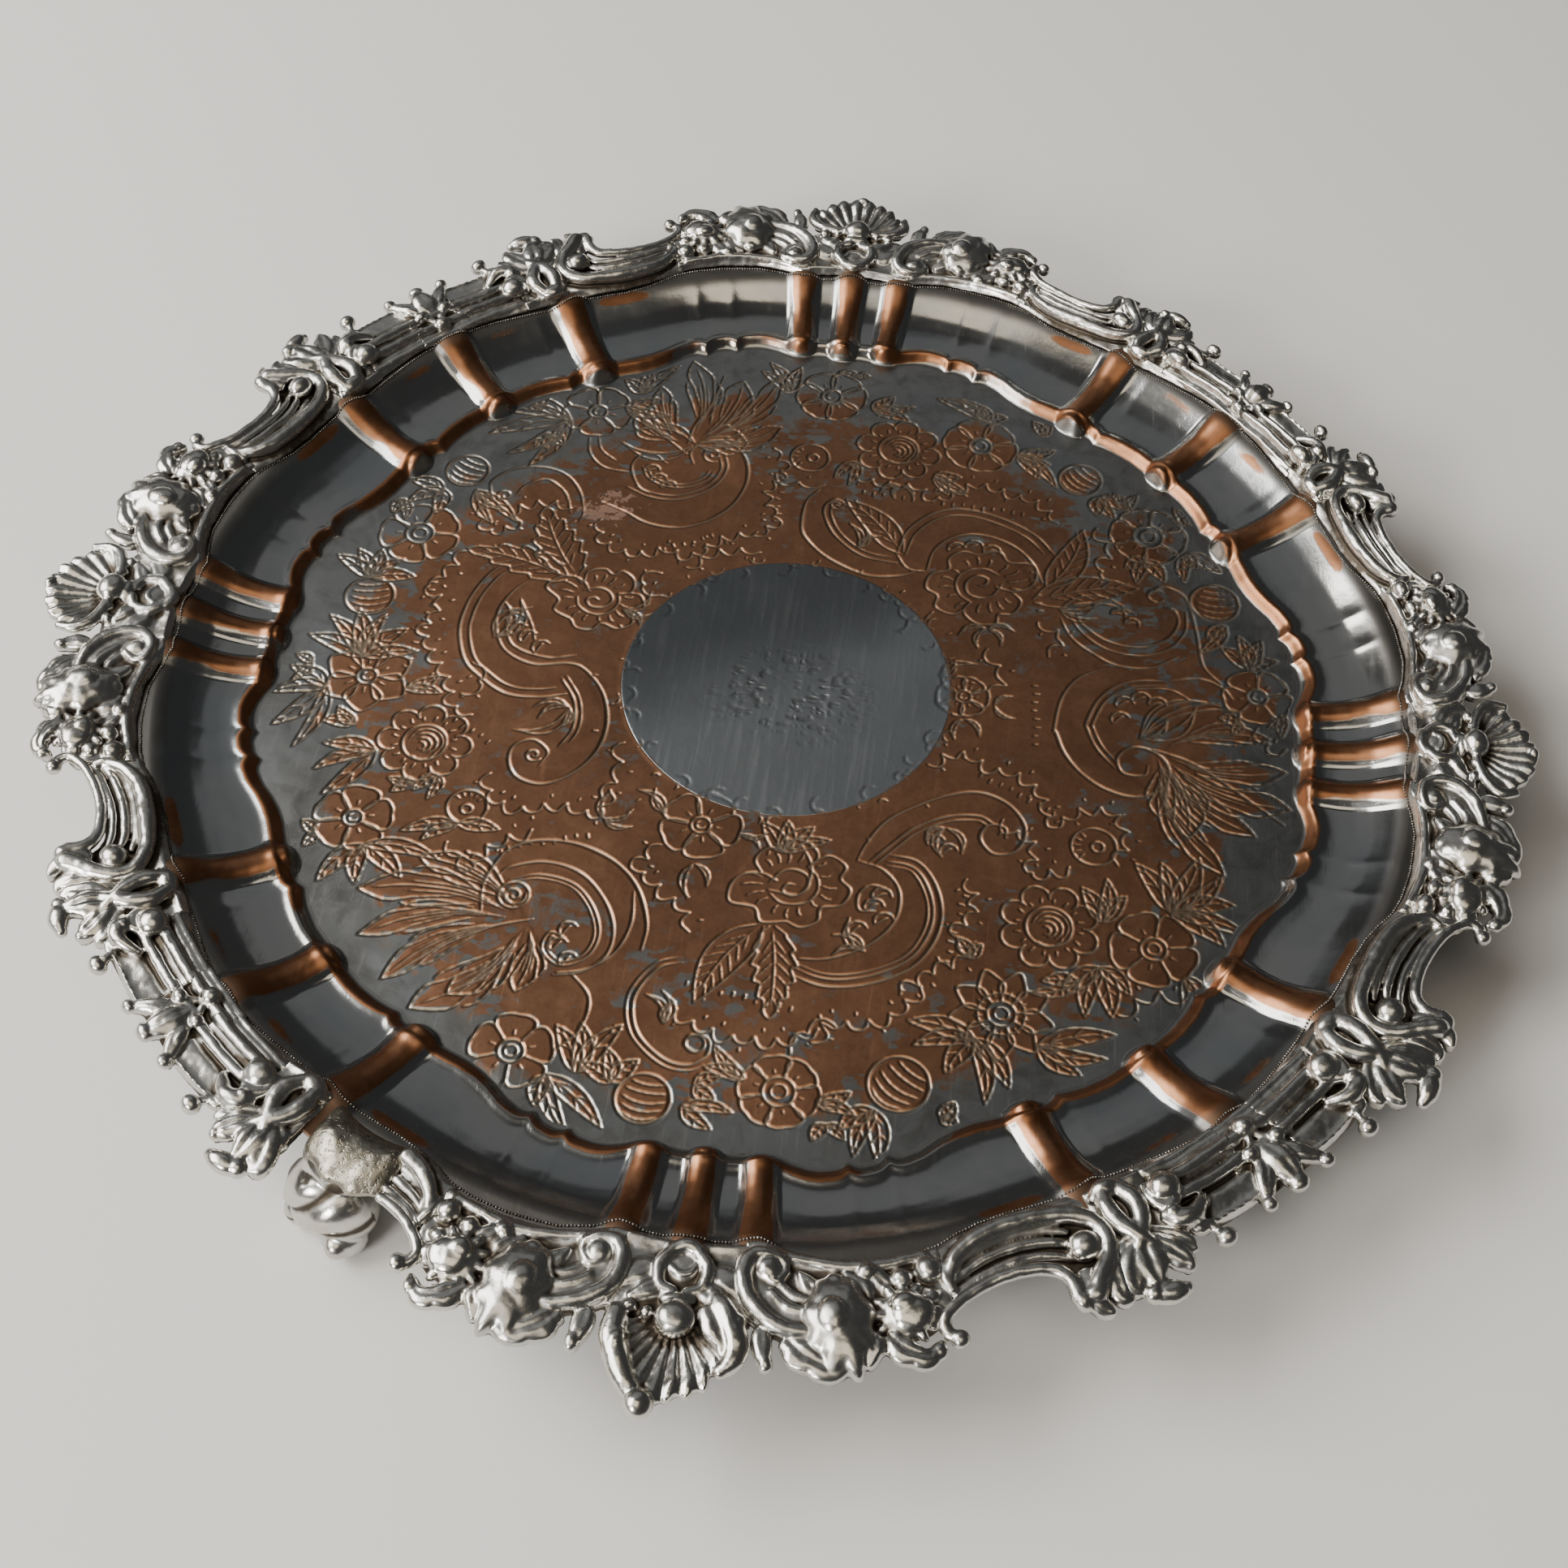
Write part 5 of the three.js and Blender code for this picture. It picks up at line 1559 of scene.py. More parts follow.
def make_scroll(part=None):
    c = Clay()
    if part == "horn":
        f0, f1 = 18.3, 22.9
    else:
        f0, f1 = 18.3, 31.2
    c.slab(f0, f1, rin, rout, lambda f, rr, a, b: 0.55 + 0.75 * math.sqrt(max(0, min(1, (rr - a) * R / 1.2))) *
           math.sqrt(max(0.0, min(1.0, ((b - rr) * R + 0.2) / 1.0))))
    # rim of the notch, from the curled horn round to the upright
    rim = [[18.9, 1.398, 2.3, 1.0], [18.15, 1.386, 2.4, 1.25], [18.0, 1.366, 2.5, 1.2], [18.7, 1.347, 2.6, 1.1],
           [20.0, 1.329, 2.6, 1.1], [21.6, 1.318, 2.6, 1.15]]
    if part != "horn":
        rim += [[23.6, 1.314, 2.6, 1.2], [25.4, 1.319, 2.7, 1.25], [26.6, 1.332, 2.8, 1.3], [27.2, 1.356, 3.0, 1.45],
                [27.15, 1.384, 3.0, 1.7]]
    else:
        rim += [[22.5, 1.316, 2.5, 1.0]]
    c.tube(rim)
    c.ball(18.75, 1.397, 2.4, 1.75, 1.7, 1.6)
    # reeds of the scroll
    def reed(rows):
        if part == "horn":
            rows = [q for q in rows if q[0] <= 22.6]
        if len(rows) > 1:
            c.tube(rows)
    reed([[19.0, 1.322, 1.9, 0.55], [20.6, 1.306, 2.0, 0.75], [22.6, 1.296, 2.1, 0.85], [24.8, 1.293, 2.1, 0.9],
          [26.8, 1.302, 2.1, 0.8], [28.0, 1.318, 2.0, 0.6]])
    reed([[19.0, 1.306, 1.9, 0.6], [20.4, 1.287, 2.1, 0.85], [22.4, 1.274, 2.2, 1.0], [24.8, 1.270, 2.2, 1.05],
          [26.8, 1.277, 2.2, 0.95], [28.0, 1.290, 2.1, 0.7]])
    reed([[19.0, 1.288, 1.7, 0.6], [20.4, 1.266, 1.9, 0.85], [22.4, 1.252, 2.0, 0.95], [24.8, 1.248, 2.0, 1.0],
          [27.0, 1.256, 2.0, 0.9], [28.4, 1.270, 1.9, 0.7]])
    # thick lower bead that carries round the ball and up the far side
    low = [[18.95, 1.312, 2.3, 0.9], [19.15, 1.288, 2.4, 1.2], [19.9, 1.262, 2.5, 1.5], [21.2, 1.242, 2.5, 1.75],
           [22.6, 1.233, 2.5, 1.85]]
    if part != "horn":
        low += [[24.8, 1.229, 2.5, 1.95], [27.2, 1.233, 2.5, 1.9], [29.2, 1.246, 2.6, 1.75], [30.5, 1.272, 2.7, 1.6],
                [30.75, 1.306, 2.9, 1.6], [30.1, 1.340, 3.1, 1.75], [29.0, 1.368, 3.3, 2.0], [28.2, 1.392, 3.3, 2.1]]
    c.tube(low)
    c.tube([[18.75, 1.270, 2.1, 0.9], [18.85, 1.295, 2.5, 1.1], [19.1, 1.316, 2.4, 0.9]])
    if part != "horn":
        c.ball(28.95, 1.306, 2.9, 2.9, 2.95, 2.5)
        # lobes at the head of the scroll
        c.leaf([[28.6, 1.345, 2.6], [28.4, 1.375, 3.3], [28.3, 1.408, 3.2], [28.9, 1.432, 2.2]], 2.6, 1.0, 0.35, 2, 0.15)
        c.ball(27.3, 1.392, 2.8, 2.2, 1.9, 1.8)
        c.leaf([[30.3, 1.338, 2.7], [30.0, 1.372, 3.2], [29.9, 1.408, 2.8], [30.4, 1.424, 2.2]], 2.0, 0.9, 0.4)
        c.tube([[30.9, 1.262, 1.8, 0.8], [31.1, 1.300, 2.1, 0.8], [30.8, 1.336, 2.3, 0.8]])
    return c


def make_leafknot():
    c = Clay()
    c.slab(30.8, 35.9, rin, rout, web_top)
    # foot of the knot over the flute's end
    c.ball(32.6, 1.224, 1.9, 2.2, 3.1, 1.9)
    c.tube([[31.4, 1.232, 1.9, 1.1], [32.6, 1.222, 2.1, 1.5], [33.9, 1.232, 1.9, 1.1]])
    # two petals that part and cross
    c.tube([[32.0, 1.232, 2.4, 1.5], [31.85, 1.262, 2.9, 1.85], [32.15, 1.296, 3.2, 1.8], [32.9, 1.328, 3.4, 1.5],
            [33.6, 1.356, 3.2, 0.9]])
    c.tube([[33.5, 1.232, 2.4, 1.5], [34.0, 1.262, 2.9, 1.9], [33.7, 1.296, 3.2, 1.8], [32.9, 1.326, 3.4, 1.5],
            [32.0, 1.356, 3.2, 1.0], [31.3, 1.384, 2.8, 0.8]])
    # leaves fanning out of the crossing
    c.leaf([[32.6, 1.330, 2.8], [31.6, 1.362, 3.4], [30.9, 1.396, 3.2], [30.9, 1.418, 2.3]], 2.51, 0.9, 0.5)
    c.leaf([[32.8, 1.335, 3.0], [32.5, 1.370, 3.8], [32.3, 1.404, 3.6], [32.2, 1.428, 2.8]], 2.64, 0.9, 0.6, 2, 0.15)
    c.leaf([[33.0, 1.330, 2.8], [34.0, 1.362, 3.3], [34.7, 1.394, 3.1], [34.9, 1.414, 2.4]], 2.24, 0.9, 0.5)
    c.leaf([[33.2, 1.318, 2.4], [34.6, 1.342, 2.9], [35.6, 1.366, 2.8], [35.9, 1.388, 2.3]], 1.85, 0.8, 0.5)
    c.leaf([[32.3, 1.318, 2.3], [31.3, 1.336, 2.7], [30.8, 1.356, 2.4]], 1.58, 0.7, 0.4)
    # large bud over the outer edge
    c.ball(32.75, 1.433, 2.7, 2.2, 3.5, 1.9, turn=-14)
    c.ball(31.7, 1.424, 2.7, 1.9, 1.9, 1.7)
    c.ball(33.75, 1.437, 2.4, 1.4, 1.6, 1.3)
    c.ball(34.85, 1.404, 2.5, 1.6, 1.2, 1.3)
    return c


def reed_rows(r, z, rad, f0=36.9, f1=43.2, wave=0.0):
    return [[f, r + wave * math.sin((f - f0) * 0.9), z, rad] for f in np.linspace(f0, f1, 6)]


def make_reed():
    c = Clay()

    def prof(f, rr, a, b):
        e = (b - rr) * R
        s = (rr - a) * R
        z = 0.5 + 0.8 * math.sqrt(max(0, min(1, s / 1.2)))
        k = float(smooth((rr - 1.305) / 0.02))
        z = z * (1 - k) + k * 2.15
        z += 0.5 * math.exp(-((e - 0.7) / 0.55) ** 2) * k
        return min(z, 0.6 + 2.1 * math.sqrt(max(0.0, min(1.0, e / 0.7))))
    c.slab(35.4, 42.9, rin, rout, prof, nr=24)
    c.tube(reed_rows(1.296, 2.35, 1.25, 37.0, 43.0))
    c.tube(reed_rows(1.276, 1.7, 0.6, 37.0, 43.0))
    c.tube(reed_rows(1.258, 2.1, 1.35, 37.0, 43.0))
    c.tube(reed_rows(1.238, 1.3, 0.7, 36.4, 43.0))
    c.tube(reed_rows(1.226, 1.0, 0.9, 36.2, 43.0))
    # ball and the lobes that roll over it
    c.ball(36.55, 1.272, 2.8, 3.2, 3.2, 2.6)
    c.tube([[37.0, 1.296, 3.0, 0.9], [36.3, 1.306, 3.2, 1.3], [35.5, 1.300, 3.1, 1.3], [35.1, 1.276, 2.7, 1.1],
            [35.4, 1.252, 2.2, 0.9]])
    c.tube([[35.3, 1.318, 3.0, 1.3], [36.0, 1.334, 3.4, 1.9], [37.0, 1.340, 3.3, 1.8], [37.9, 1.330, 2.9, 1.4],
            [38.6, 1.318, 2.4, 0.9]])
    c.ball(35.9, 1.322, 3.2, 1.9, 1.9, 1.9)
    c.leaf([[36.6, 1.345, 2.6], [37.2, 1.362, 2.8], [38.2, 1.362, 2.3]], 1.3, 0.6, 0.3)
    # bud on its stalk
    c.tube([[37.3, 1.350, 2.3, 0.7], [37.7, 1.368, 2.5, 0.8], [38.1, 1.388, 2.6, 1.0]])
    c.ball(38.15, 1.398, 2.7, 1.9, 2.1, 1.8)
    return c


def make_spray():
    c = Clay()

    def prof(f, rr, a, b):
        return 0.55 + 1.1 * math.sqrt(max(0, min(1, (rr - a) * R / 1.2))) * math.sqrt(max(0, min(1, ((b - rr) * R + .2) / 0.9)))
    c.slab(42.0, 48.0, rin, rout, prof)
    for r, z, w in ((1.296, 2.2, 1.2), (1.258, 2.0, 1.3), (1.238, 1.3, 0.7), (1.226, 1.0, 0.9)):
        c.tube([[f, r, z, w] for f in np.linspace(42.2, 47.8, 5)])
    c.leaf([[45.0, 1.300, 2.6], [45.1, 1.332, 3.6], [45.0, 1.366, 3.5], [44.8, 1.395, 2.6]], 2.6, 1.0, 0.35)
    c.ball(44.9, 1.388, 2.8, 1.8, 2.1, 1.6)
    for s in (-1, 1):
        c.leaf([[45 + s * 0.6, 1.310, 2.4], [45 + s * 1.4, 1.338, 3.2], [45 + s * 2.2, 1.364, 3.1],
                [45 + s * 3.0, 1.390, 2.4]], 1.7, 0.8, 0.3)
        c.ball(45 + s * 2.75, 1.388, 2.6, 1.5, 1.6, 1.4)
        c.ball(45 + s * 1.35, 1.300, 2.9, 1.6, 1.7, 1.5)
        c.tube([[45 + s * 1.3, 1.298, 2.5, 0.8], [45 + s * 0.55, 1.282, 2.3, 0.8], [45 + s * 0.1, 1.262, 2.0, 0.8]])
        c.leaf([[45 + s * 1.0, 1.268, 2.0], [45 + s * 1.9, 1.262, 2.2], [45 + s * 2.6, 1.252, 1.7]], 0.9, 0.5, 0.3)
    c.ball(45, 1.252, 2.5, 2.0, 2.0, 1.8)
    return c


def make_filling():
    """Where the struck skin is lost: the smooth pitted filling."""
    c = Clay()
    n, m = 40, 30
    fs = np.linspace(22.6, 30.2, n)
    top = np.zeros((n, m, 3))
    bot = np.zeros_like(top)
    for i, f in enumerate(fs):
        a = 1.212 + 0.010 * math.sin(math.pi * (f - 22.6) / 7.6)
        b = 1.292 + 0.044 * math.sqrt(max(0.0, 1.0 - ((f - 26.4) / 3.85) ** 2)) + 0.004 * math.sin(f * 2.6)
        for j, t in enumerate(np.linspace(0, 1, m)):
            rr = a + (b - a) * t
            x, y = pol(f, rr)
            edge = min(t, 1 - t)
            z = 0.45 + 3.5 * math.sin(math.pi * (0.06 + 0.88 * t ** 0.9)) ** 0.75
            z *= 0.97 + 0.05 * float(vnoise(x / 7.0, y / 7.0, 71))
            z += 0.10 * float(vnoise(x / 1.5, y / 1.5, 72)) + 0.08 * float(vnoise(x / 0.8, y / 0.8, 73))
            z *= 0.35 + 0.65 * math.sqrt(max(0.0, min(1.0, (30.3 - f) / 1.8))) * math.sqrt(max(0.0, min(1.0, (f - 22.4) / 1.2)))
            top[i, j] = (x, y, z)
            bot[i, j] = (x, y, 0.25)
    c.grid_solid(top, bot)
    return c


def fuse(clay, voxel=0.25, smooth_steps=6):
    """Fuse the shapes into one skin and return its points and quads, in mm."""
    me = bpy.data.meshes.new("fuse")
    v = np.concatenate(clay.v)
    me.from_pydata([tuple(p) for p in v * MM], [], clay.f)
    me.update()
    ob = bpy.data.objects.new("fuse", me)
    bpy.context.scene.collection.objects.link(ob)
    mod = ob.modifiers.new("r", "REMESH")
    mod.mode = "VOXEL"
    mod.voxel_size = voxel * MM
    mod.adaptivity = 0.0
    if smooth_steps:
        s = ob.modifiers.new("s", "SMOOTH")
        s.factor = 0.5
        s.iterations = smooth_steps
    dg = bpy.context.evaluated_depsgraph_get()
    ev = ob.evaluated_get(dg)
    out = bpy.data.meshes.new_from_object(ev)
    n = len(out.vertices)
    co = np.zeros(n * 3, np.float32)
    out.vertices.foreach_get("co", co)
    lt = np.zeros(len(out.loops), np.int32)
    out.loops.foreach_get("vertex_index", lt)
    assert len(lt) == 4 * len(out.polygons)
    bpy.data.objects.remove(ob)
    bpy.data.meshes.remove(me)
    bpy.data.meshes.remove(out)
    return co.reshape(-1, 3) / MM, lt.reshape(-1, 4)


def blur(img, sigma):
    k = np.arange(-int(3 * sigma), int(3 * sigma) + 1)
    w = np.exp(-0.5 * (k / sigma) ** 2)
    w /= w.sum()
    p = len(k) // 2
    a = np.apply_along_axis(lambda q: np.convolve(np.pad(q, p, mode="edge"), w, mode="valid"), 0, img)
    return np.apply_along_axis(lambda q: np.convolve(np.pad(q, p, mode="edge"), w, mode="valid"), 1, a)


def cavity(co, cell=0.3):
    """How far each point lies below the relief around it, about 0 to 1."""
    lo = co[:, :2].min(0) - 3
    ij = ((co[:, :2] - lo) / cell).astype(int)
    shape = ij.max(0) + int(6 / cell)
    top = np.full(shape, 0.0)
    np.maximum.at(top, (ij[:, 0], ij[:, 1]), co[:, 2])
    a = blur(top, 1.1 / cell)
    b = blur(top, 2.6 / cell)
    za = a[ij[:, 0], ij[:, 1]]
    zb = b[ij[:, 0], ij[:, 1]]
    here = top[ij[:, 0], ij[:, 1]]
    z = co[:, 2]
    cav = 0.38 + (za - z) * 0.55 + (zb - z) * 0.22
    # walls and the underside
    cav = np.maximum(cav, 0.25 * (here - z > 1.2))
    return np.clip(cav, 0, 1)


VOX = 0.26
PARTS = {}
for key, make in (("shell", make_shell), ("torn", lambda: make_shell(True)), ("flower", make_flower), ("scroll", make_scroll), ("leaf", make_leafknot),
                  ("reed", make_reed), ("spray", make_spray), ("horn", lambda: make_scroll("horn")),
                  ("filling", make_filling)):
    co, quads = fuse(make(), VOX)
    PARTS[key] = (co, quads, cavity(co))


def place(name, key, base, sign, seed, mat, shift=(0, 0)):
    co, quads, cav = PARTS[key]
    v = co.copy()
    if sign < 0:
        v[:, 1] *= -1
        quads = quads[:, ::-1]
    # small differences of hand fitting
    dr = 0.35 * math.sin(seed * 12.9898) + shift[0]
    da = 0.0022 * math.sin(seed * 78.233) + shift[1]
    a = math.radians(base) + da
    x = v[:, 0] + dr
    y = v[:, 1]
    X = x * math.cos(a) - y * math.sin(a)
    Y = x * math.sin(a) + y * math.cos(a)
    X, Y = draw_in(X, Y)
    Z = v[:, 2] + FLANGE_Z
    wx = 0.28 * fbm(X / 9.0, Y / 9.0, 2, 31)
    wy = 0.28 * fbm(X / 9.0, Y / 9.0, 2, 47)
    wz = 0.30 * fbm(X / 7.0, Y / 7.0, 2, 53) * smooth(v[:, 2] / 2.0)
    # years of polishing and small knocks
    kn = smooth(v[:, 2] / 1.2)
    wz = wz + kn * (0.10 * vnoise(X / 1.9, Y / 1.9, 61) + 0.03 * vnoise(X / 0.9, Y / 0.9, 62))
    wx = wx + 0.06 * vnoise(Y / 1.3, v[:, 2] / 1.1, 63)
    wy = wy + 0.06 * vnoise(X / 1.3, v[:, 2] / 1.1, 64)
    pts = np.column_stack([X + wx, Y + wy, Z + wz])
    ob = new_mesh(name, pts, np.ascontiguousarray(quads))
    set_attr(ob, "cav", cav)
    return settle(ob, name, mat)


def filling_material():
    """Soft grey metal, cast and never polished: pitted and a little yellow."""
    m = Nodes("filling_bare")
    b = m.bsdf
    big = m.noise(120.0, 4.0, 0.6)
    mid = m.noise(600.0, 5.0, 0.65)
    pit = m.noise(1500.0, 2.0, 0.5)
    col = m.mix(m.ramp(big, 0.35, 0.7), (0.38, 0.355, 0.29), (0.27, 0.255, 0.215))
    col = m.mix(m.ramp(mid, 0.50, 0.72, 0.0, 0.6), col, (0.30, 0.26, 0.19))
    col = m.mix(m.ramp(pit, 0.62, 0.70, 0.0, 0.8), col, (0.12, 0.11, 0.095))
    m.put(b.inputs["Base Color"], col)
    b.inputs["Metallic"].default_value = 1.0
    m.put(b.inputs["Roughness"], m.ramp(mid, 0.3, 0.75, 0.28, 0.42))
    h = m.math("ADD", m.ramp(pit, 0.55, 0.72, 1.0, 0.0), m.math("MULTIPLY", mid, 0.8))
    m.put(b.inputs["Normal"], m.bump(h, 0.45, 0.00016, m.bump(big, 0.35, 0.0008)))
    return m.mat


FILL = filling_material()
k = 0
for q in range(4):
    base = 270.0 + 90.0 * q
    place(f"shell_mount_{q + 1}", "torn" if q == 0 else "shell", base, 1, 3 + q, MOUNT)
    for axis, sign in ((base, 1), (base + 90.0, -1)):
        k += 1
        place(f"flower_mount_{k}", "flower", axis, sign, 11 + k, MOUNT)
        if k == 8:
            place("scroll_mount_8", "horn", axis, sign, 21 + k, MOUNT)
            place("bare_filling", "filling", axis, sign, 0, FILL)
        else:
            place(f"scroll_mount_{k}", "scroll", axis, sign, 21 + k, MOUNT)
        place(f"leaf_mount_{k}", "leaf", axis, sign, 31 + k, MOUNT)
        place(f"reed_mount_{k}", "reed", axis, sign, 41 + k, MOUNT)
    place(f"spray_mount_{q + 1}", "spray", base, 1, 51 + q, MOUNT)


def milled_edge():
    """A line of small beads where the struck border meets the sheet."""
    nu, nv = 6, 4
    v, f, cav = [], [], []
    step = 0.60 / (1.215 * R)
    n = int(2 * math.pi / step)
    for i in range(n):
        phi = 360.0 * i / n
        g = (phi - 270.0) % 90.0
        g = 90.0 - g if g > 45.0 else g
        rr = rin(g) * R - 0.35
        px, py = draw_in(np.array([rr * math.cos(math.radians(phi))]), np.array([rr * math.sin(math.radians(phi))]))
        zz = FLOOR_Z + float(sheet_top(np.array([min(rr, 127.4)]), np.array([phi]))[0][0]) + 0.12
        k0 = len(v)
        rad = 0.27 + 0.05 * math.sin(i * 2.1)
        for a in range(nv + 1):
            th = math.pi * a / nv
            for b in range(nu):
                ph = 2 * math.pi * b / nu
                v.append((px[0] + rad * math.sin(th) * math.cos(ph), py[0] + rad * math.sin(th) * math.sin(ph),
                          zz + 0.24 * math.cos(th)))
        for a in range(nv):
            for b in range(nu):
                q0, q1 = k0 + a * nu + b, k0 + a * nu + (b + 1) % nu
                f.append((q0, q0 + nu, q1 + nu, q1))
    ob = new_mesh("milled_edge", np.array(v), f)
    set_attr(ob, "cav", np.full(len(v), 0.74))
    settle(ob, "tray_body", MOUNT)


milled_edge()



# ---- shield, feet -------------------------------------------------------------------
def shield_material():
    """The let-in disc: thick silver gone a dull blue-grey, rubbed in one direction."""
    m = Nodes("shield_dull")
    b = m.bsdf
    big = m.noise(60.0, 4.0, 0.6)
    mid = m.noise(240.0, 5.0, 0.62, 0.4)
    fine = m.noise(1100.0, 3.0, 0.6)
    rub = m.noise(900.0, 2.0, 0.5, 0.0, (1.0, 0.06, 1.0), (0, 0, -0.75))
    col = m.mix(m.ramp(big, 0.35, 0.68), (0.40, 0.42, 0.435), (0.31, 0.33, 0.345))
    col = m.mix(m.ramp(mid, 0.55, 0.78, 0.0, 0.45), col, (0.44, 0.43, 0.41))
    # painted reflection: the disc darkened on one side, the upper left, where it would reflect the dark room, lighter
    # towards the lower right
    shade = m.math("ADD", m.attr("shade"), m.math("MULTIPLY", m.math("SUBTRACT", big, 0.5), 0.5))
    col = m.mix(m.ramp(shade, 0.15, 0.95, 0.0, 0.80), col, (0.13, 0.14, 0.145))
    mark = m.attr("mark")
    col = m.mix(m.math("MULTIPLY", mark, 0.45, clamp=True), col, (0.20, 0.20, 0.205))
    m.put(b.inputs["Base Color"], col)
    b.inputs["Metallic"].default_value = 1.0
    rough = m.math("ADD", m.ramp(big, 0.3, 0.75, 0.30, 0.38), m.math("MULTIPLY", m.ramp(rub, 0.5, 0.75), 0.06))
    m.put(b.inputs["Roughness"], rough)
    h = m.math("ADD", m.math("MULTIPLY", m.ramp(rub, 0.4, 0.75), 0.8), m.math("MULTIPLY", m.ramp(fine, 0.35, 0.8), 0.5))
    m.put(b.inputs["Normal"], m.bump(h, 0.25, 0.00005, m.bump(mid, 0.16, 0.0003)))
    return m.mat


def build_shield():
    rad = np.concatenate([np.arange(0.4, 34.0, 0.34), [34.15, 34.4, 34.58, 34.66]])
    n = 540
    t = np.arange(n) * 2 * math.pi / n
    verts, marks = [np.array([[0, SHIELD_Y, FLOOR_Z]])], [np.zeros(1)]
    for k, r in enumerate(rad):
        x, y = r * np.cos(t), r * np.sin(t)
        # a rubbed, illegible patch of old work
        area_mask = np.exp(-(((x - 1.0) / 16.0) ** 2 + ((y + 3.0) / 12.5) ** 2) ** 2)
        pits = vnoise(x / 1.25, y / 1.0, 91) * vnoise(x / 2.6, y / 2.2, 92)
        pits = np.clip(np.abs(pits) * 2.8 - 0.22, 0, 1) * area_mask
        z = 0.07 * fbm(x / 12.0, y / 12.0, 2, 93) - 0.15 * pits + sample(HGT, x, y + SHIELD_Y) * 0.9 * smooth((r - 27.0) / 2.0)
        z = z * smooth((34.6 - r) / 0.6)
        z = z + 0.03 - (0.12 if r > 34.5 else 0.0) - (0.35 if r > 34.6 else 0.0)
        verts.append(np.stack([x, y + SHIELD_Y, FLOOR_Z + z], 1))
        marks.append(pits)
    v = np.concatenate(verts)
    i = np.arange(n)
    f = [(0, 1 + int(j), 1 + int((j + 1) % n)) for j in i]
    for k in range(len(rad) - 1):
        a = 1 + k * n
        for j in range(n):
            j2 = (j + 1) % n
            f.append((a + j, a + n + j, a + n + j2, a + j2))
    ob = new_mesh("centre_shield_face", v, f)
    set_attr(ob, "mark", np.concatenate(marks))
    # painted reflection shade: 1 on the upper left of the disc, falling to 0 towards the lower right
    set_attr(ob, "shade", 1.0 - smooth((0.55 * v[:, 0] - 0.83 * (v[:, 1] - SHIELD_Y) + 30.0) / 52.0))
    return ob


settle(build_shield(), "centre_shield", shield_material())


def blob(clay, c, rad, nu=22, nv=13):
    v, f = [], []
    for i in range(nv):
        th = math.pi * (i + 0.5) / nv
        for j in range(nu):
            ph = 2 * math.pi * j / nu
            v.append((c[0] + rad[0] * math.sin(th) * math.cos(ph), c[1] + rad[1] * math.sin(th) * math.sin(ph),
                      c[2] + rad[2] * math.cos(th)))
    for i in range(nv - 1):
        for j in range(nu):
            p, q = i * nu + j, i * nu + (j + 1) % nu
            f.append((p, p + nu, q + nu, q))
    f.append(tuple(range(nu)))
    f.append(tuple((nv - 1) * nu + nu - 1 - j for j in range(nu)))
    clay.put(v, f)


def make_foot():
    """x runs outward, y across, z up; a fluted shell curling over a volute."""
    c = Clay()
    nu, nv = 96, 40
    v, f = [], []
    for i in range(nv):
        th = math.pi * (i + 0.5) / nv
        for j in range(nu):
            ph = 2 * math.pi * j / nu
            x, y, z = math.sin(th) * math.cos(ph), math.sin(th) * math.sin(ph), math.cos(th)
            # flutes fan from the upper left down to the volute
            ang = math.atan2(z + 0.9, y + 1.15)
            flute = abs(math.sin(ang * 7.0)) ** 0.8
            k = 1.0 + 0.26 * (flute - 0.55) * float(smooth((x + 0.35) / 0.5))
            v.append((1.6 + 6.9 * x * k, 9.3 * y * (1.0 + 0.05 * (k - 1)), 8.6 + 7.9 * z * (1.0 + 0.5 * (k - 1))))
    for i in range(nv - 1):
        for j in range(nu):
            p, q = i * nu + j, i * nu + (j + 1) % nu
            f.append((p, p + nu, q + nu, q))
    f.append(tuple(range(nu)))
    f.append(tuple((nv - 1) * nu + nu - 1 - j for j in range(nu)))
    c.put(v, f)
    # neck to the flange
    blob(c, (-2.0, 0, 16.0), (5.6, 7.4, 3.2))
    # curled toe, and leaf tips at its shoulders
    blob(c, (4.6, 4.6, 3.9), (4.2, 4.4, 3.9))
    blob(c, (7.4, 5.4, 4.4), (2.2, 2.3, 2.2))
    blob(c, (4.8, -5.2, 2.9), (3.4, 3.6, 2.9))
    return c


FOOT = mount_material("foot_cast", warm=0.25)
fco, fquads = fuse(make_foot(), 0.3, 4)
fco[:, 2] = np.maximum(fco[:, 2], 0.0)
lowest = fco[:, 2].min()
fco[:, 2] = np.minimum(fco[:, 2] - lowest, 19.05)
fx0 = fco[:, 0]
# painted shade: the inward half of the foot and its top under the flange darkened; darker between the flutes as tarnish
# in the hollows
foot_tarnish_and_painted_shade = 0.30 + 0.5 * np.clip((fx0 < 1.0) * 0.6, 0, 1) + 0.45 * smooth((fco[:, 2] - 14.0) / 5.0)
rbs = np.abs(np.sin(7.0 * np.arctan2((fco[:, 2] - 8.6) / 7.9 + 0.9, fco[:, 1] / 9.3 + 1.15))) ** 0.8
foot_tarnish_and_painted_shade = np.clip(foot_tarnish_and_painted_shade + 1.3 * (0.66 - rbs) * (fx0 > 0.5), 0, 1)
for k, deg_ in enumerate((2.0, 122.0, 242.0)):
    a = math.radians(deg_)
    X = fco[:, 0] * math.cos(a) - fco[:, 1] * math.sin(a) + 135.9 * math.cos(a)
    Y = fco[:, 0] * math.sin(a) + fco[:, 1] * math.cos(a) + 135.9 * math.sin(a)
    ob = new_mesh(f"foot_{k + 1}_cast", np.column_stack([X, Y, fco[:, 2]]), fquads)
    set_attr(ob, "cav", foot_tarnish_and_painted_shade)
    settle(ob, f"foot_{k + 1}", FOOT)


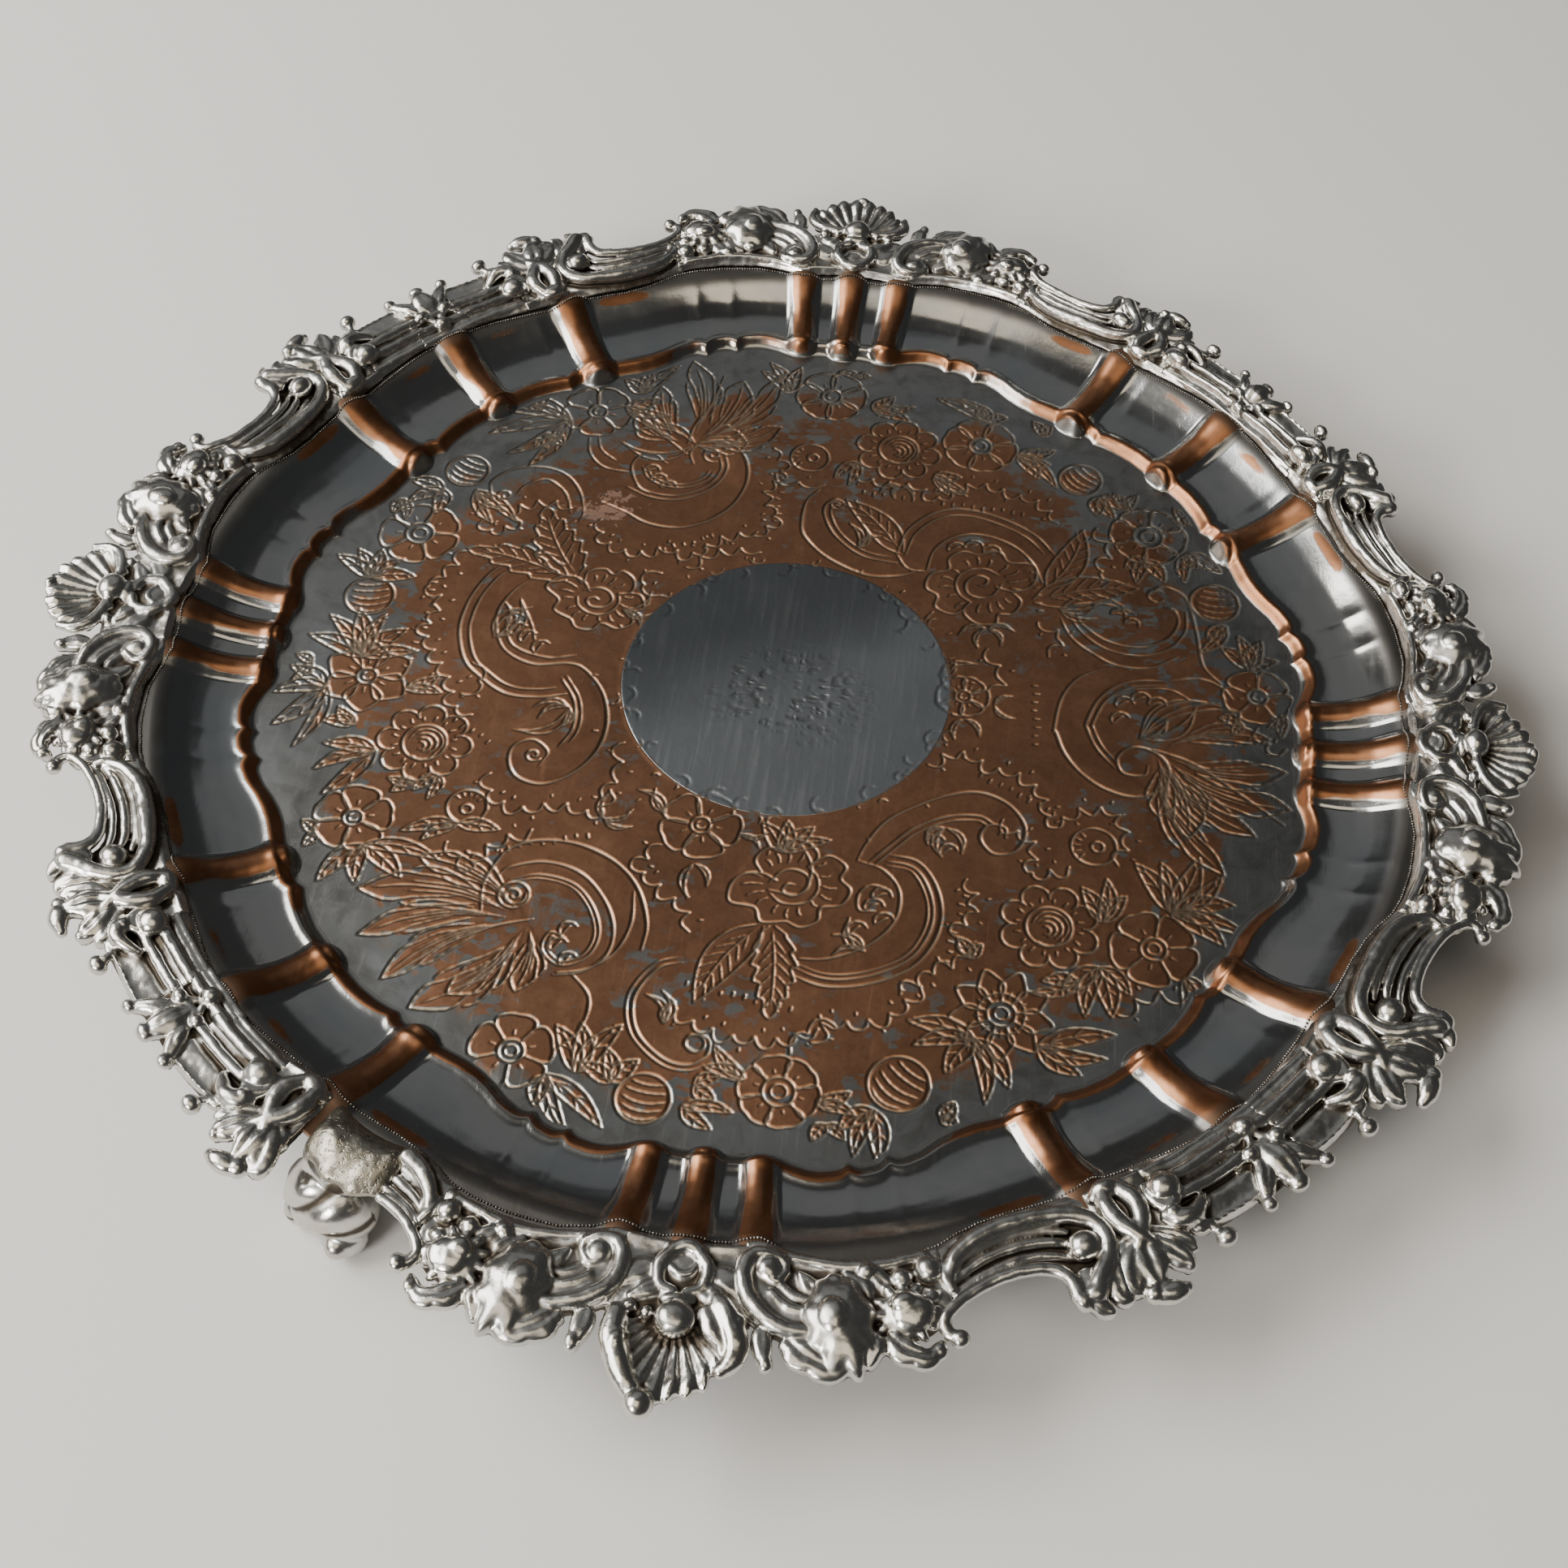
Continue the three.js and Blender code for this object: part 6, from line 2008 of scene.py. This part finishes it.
# ---- stage, light and camera -------------------------------------------------------
me = bpy.data.meshes.new("table_top")
me.from_pydata([(-4, -4, 0), (4, -4, 0), (4, 4, 0), (-4, 4, 0)], [], [(0, 1, 2, 3)])
table_top = bpy.data.objects.new("table_top", me)
bpy.context.scene.collection.objects.link(table_top)
g = Nodes("table_pale")
g.bsdf.inputs["Base Color"].default_value = (0.80, 0.79, 0.77, 1.0)
g.bsdf.inputs["Roughness"].default_value = 0.75
me.materials.append(g.mat)


def area(name, loc, target, size, power, color, size_y=None):
    d = bpy.data.lights.new(name, "AREA")
    d.shape = "RECTANGLE"
    d.size = size
    d.size_y = size_y or size
    d.energy = power
    d.color = color
    o = bpy.data.objects.new(name, d)
    o.location = loc
    o.rotation_euler = (Vector(target) - Vector(loc)).to_track_quat("-Z", "Y").to_euler()
    bpy.context.scene.collection.objects.link(o)
    return o


area("window", (-1.15, 0.02, 1.05), (0, 0, 0), 1.3, 34.0, (1.0, 0.97, 0.93), 0.95)
area("overhead", (-0.12, -0.45, 1.5), (0, 0, 0), 1.15, 4.6, (1.0, 0.88, 0.70), 0.85)
area("front_left", (-0.75, -1.15, 0.75), (0, 0, 0), 0.45, 17.0, (1.0, 0.97, 0.92))
area("back_sky", (-0.45, 1.5, 1.6), (0, 0, 0), 1.6, 1.25, (0.96, 0.985, 1.0))

world = bpy.data.worlds.new("studio")
bpy.context.scene.world = world
world.use_nodes = True
world.node_tree.nodes["Background"].inputs[0].default_value = (0.045, 0.046, 0.047, 1)
world.node_tree.nodes["Background"].inputs[1].default_value = 1.0

CAM = dict(f=2611.6, el=math.radians(52.54), az=math.radians(-5.79), roll=math.radians(2.04), d=4.196, ox=0.0, oy=-0.170)


def make_camera():
    f, el, az, roll, d, ox, oy = (CAM[k] for k in ("f", "el", "az", "roll", "d", "ox", "oy"))
    right = np.array([1.0, 0, 0])
    back = np.array([0, -math.cos(el), math.sin(el)])
    up = np.cross(back, right)
    cr, sr = math.cos(roll), math.sin(roll)
    r2, u2 = cr * right + sr * up, -sr * right + cr * up
    ca, sa = math.cos(az), math.sin(az)
    turn = np.array([[ca, -sa, 0], [sa, ca, 0], [0, 0, 1]])
    rot = np.stack([r2, u2, back]) @ turn
    centre = rot.T @ np.array([ox, oy, d]) * R * MM + np.array([0, 0, FLOOR_Z * MM])
    m = Matrix.Identity(4)
    for i in range(3):
        for j in range(3):
            m[i][j] = rot[j][i]
        m[i][3] = centre[i]
    data = bpy.data.cameras.new("camera")
    data.sensor_fit = "HORIZONTAL"
    data.sensor_width = 36.0
    data.lens = f / 1932.0 * 36.0
    data.clip_start = 0.01
    data.clip_end = 20.0
    o = bpy.data.objects.new("camera", data)
    o.matrix_world = m
    bpy.context.scene.collection.objects.link(o)
    bpy.context.scene.camera = o
    return o


make_camera()
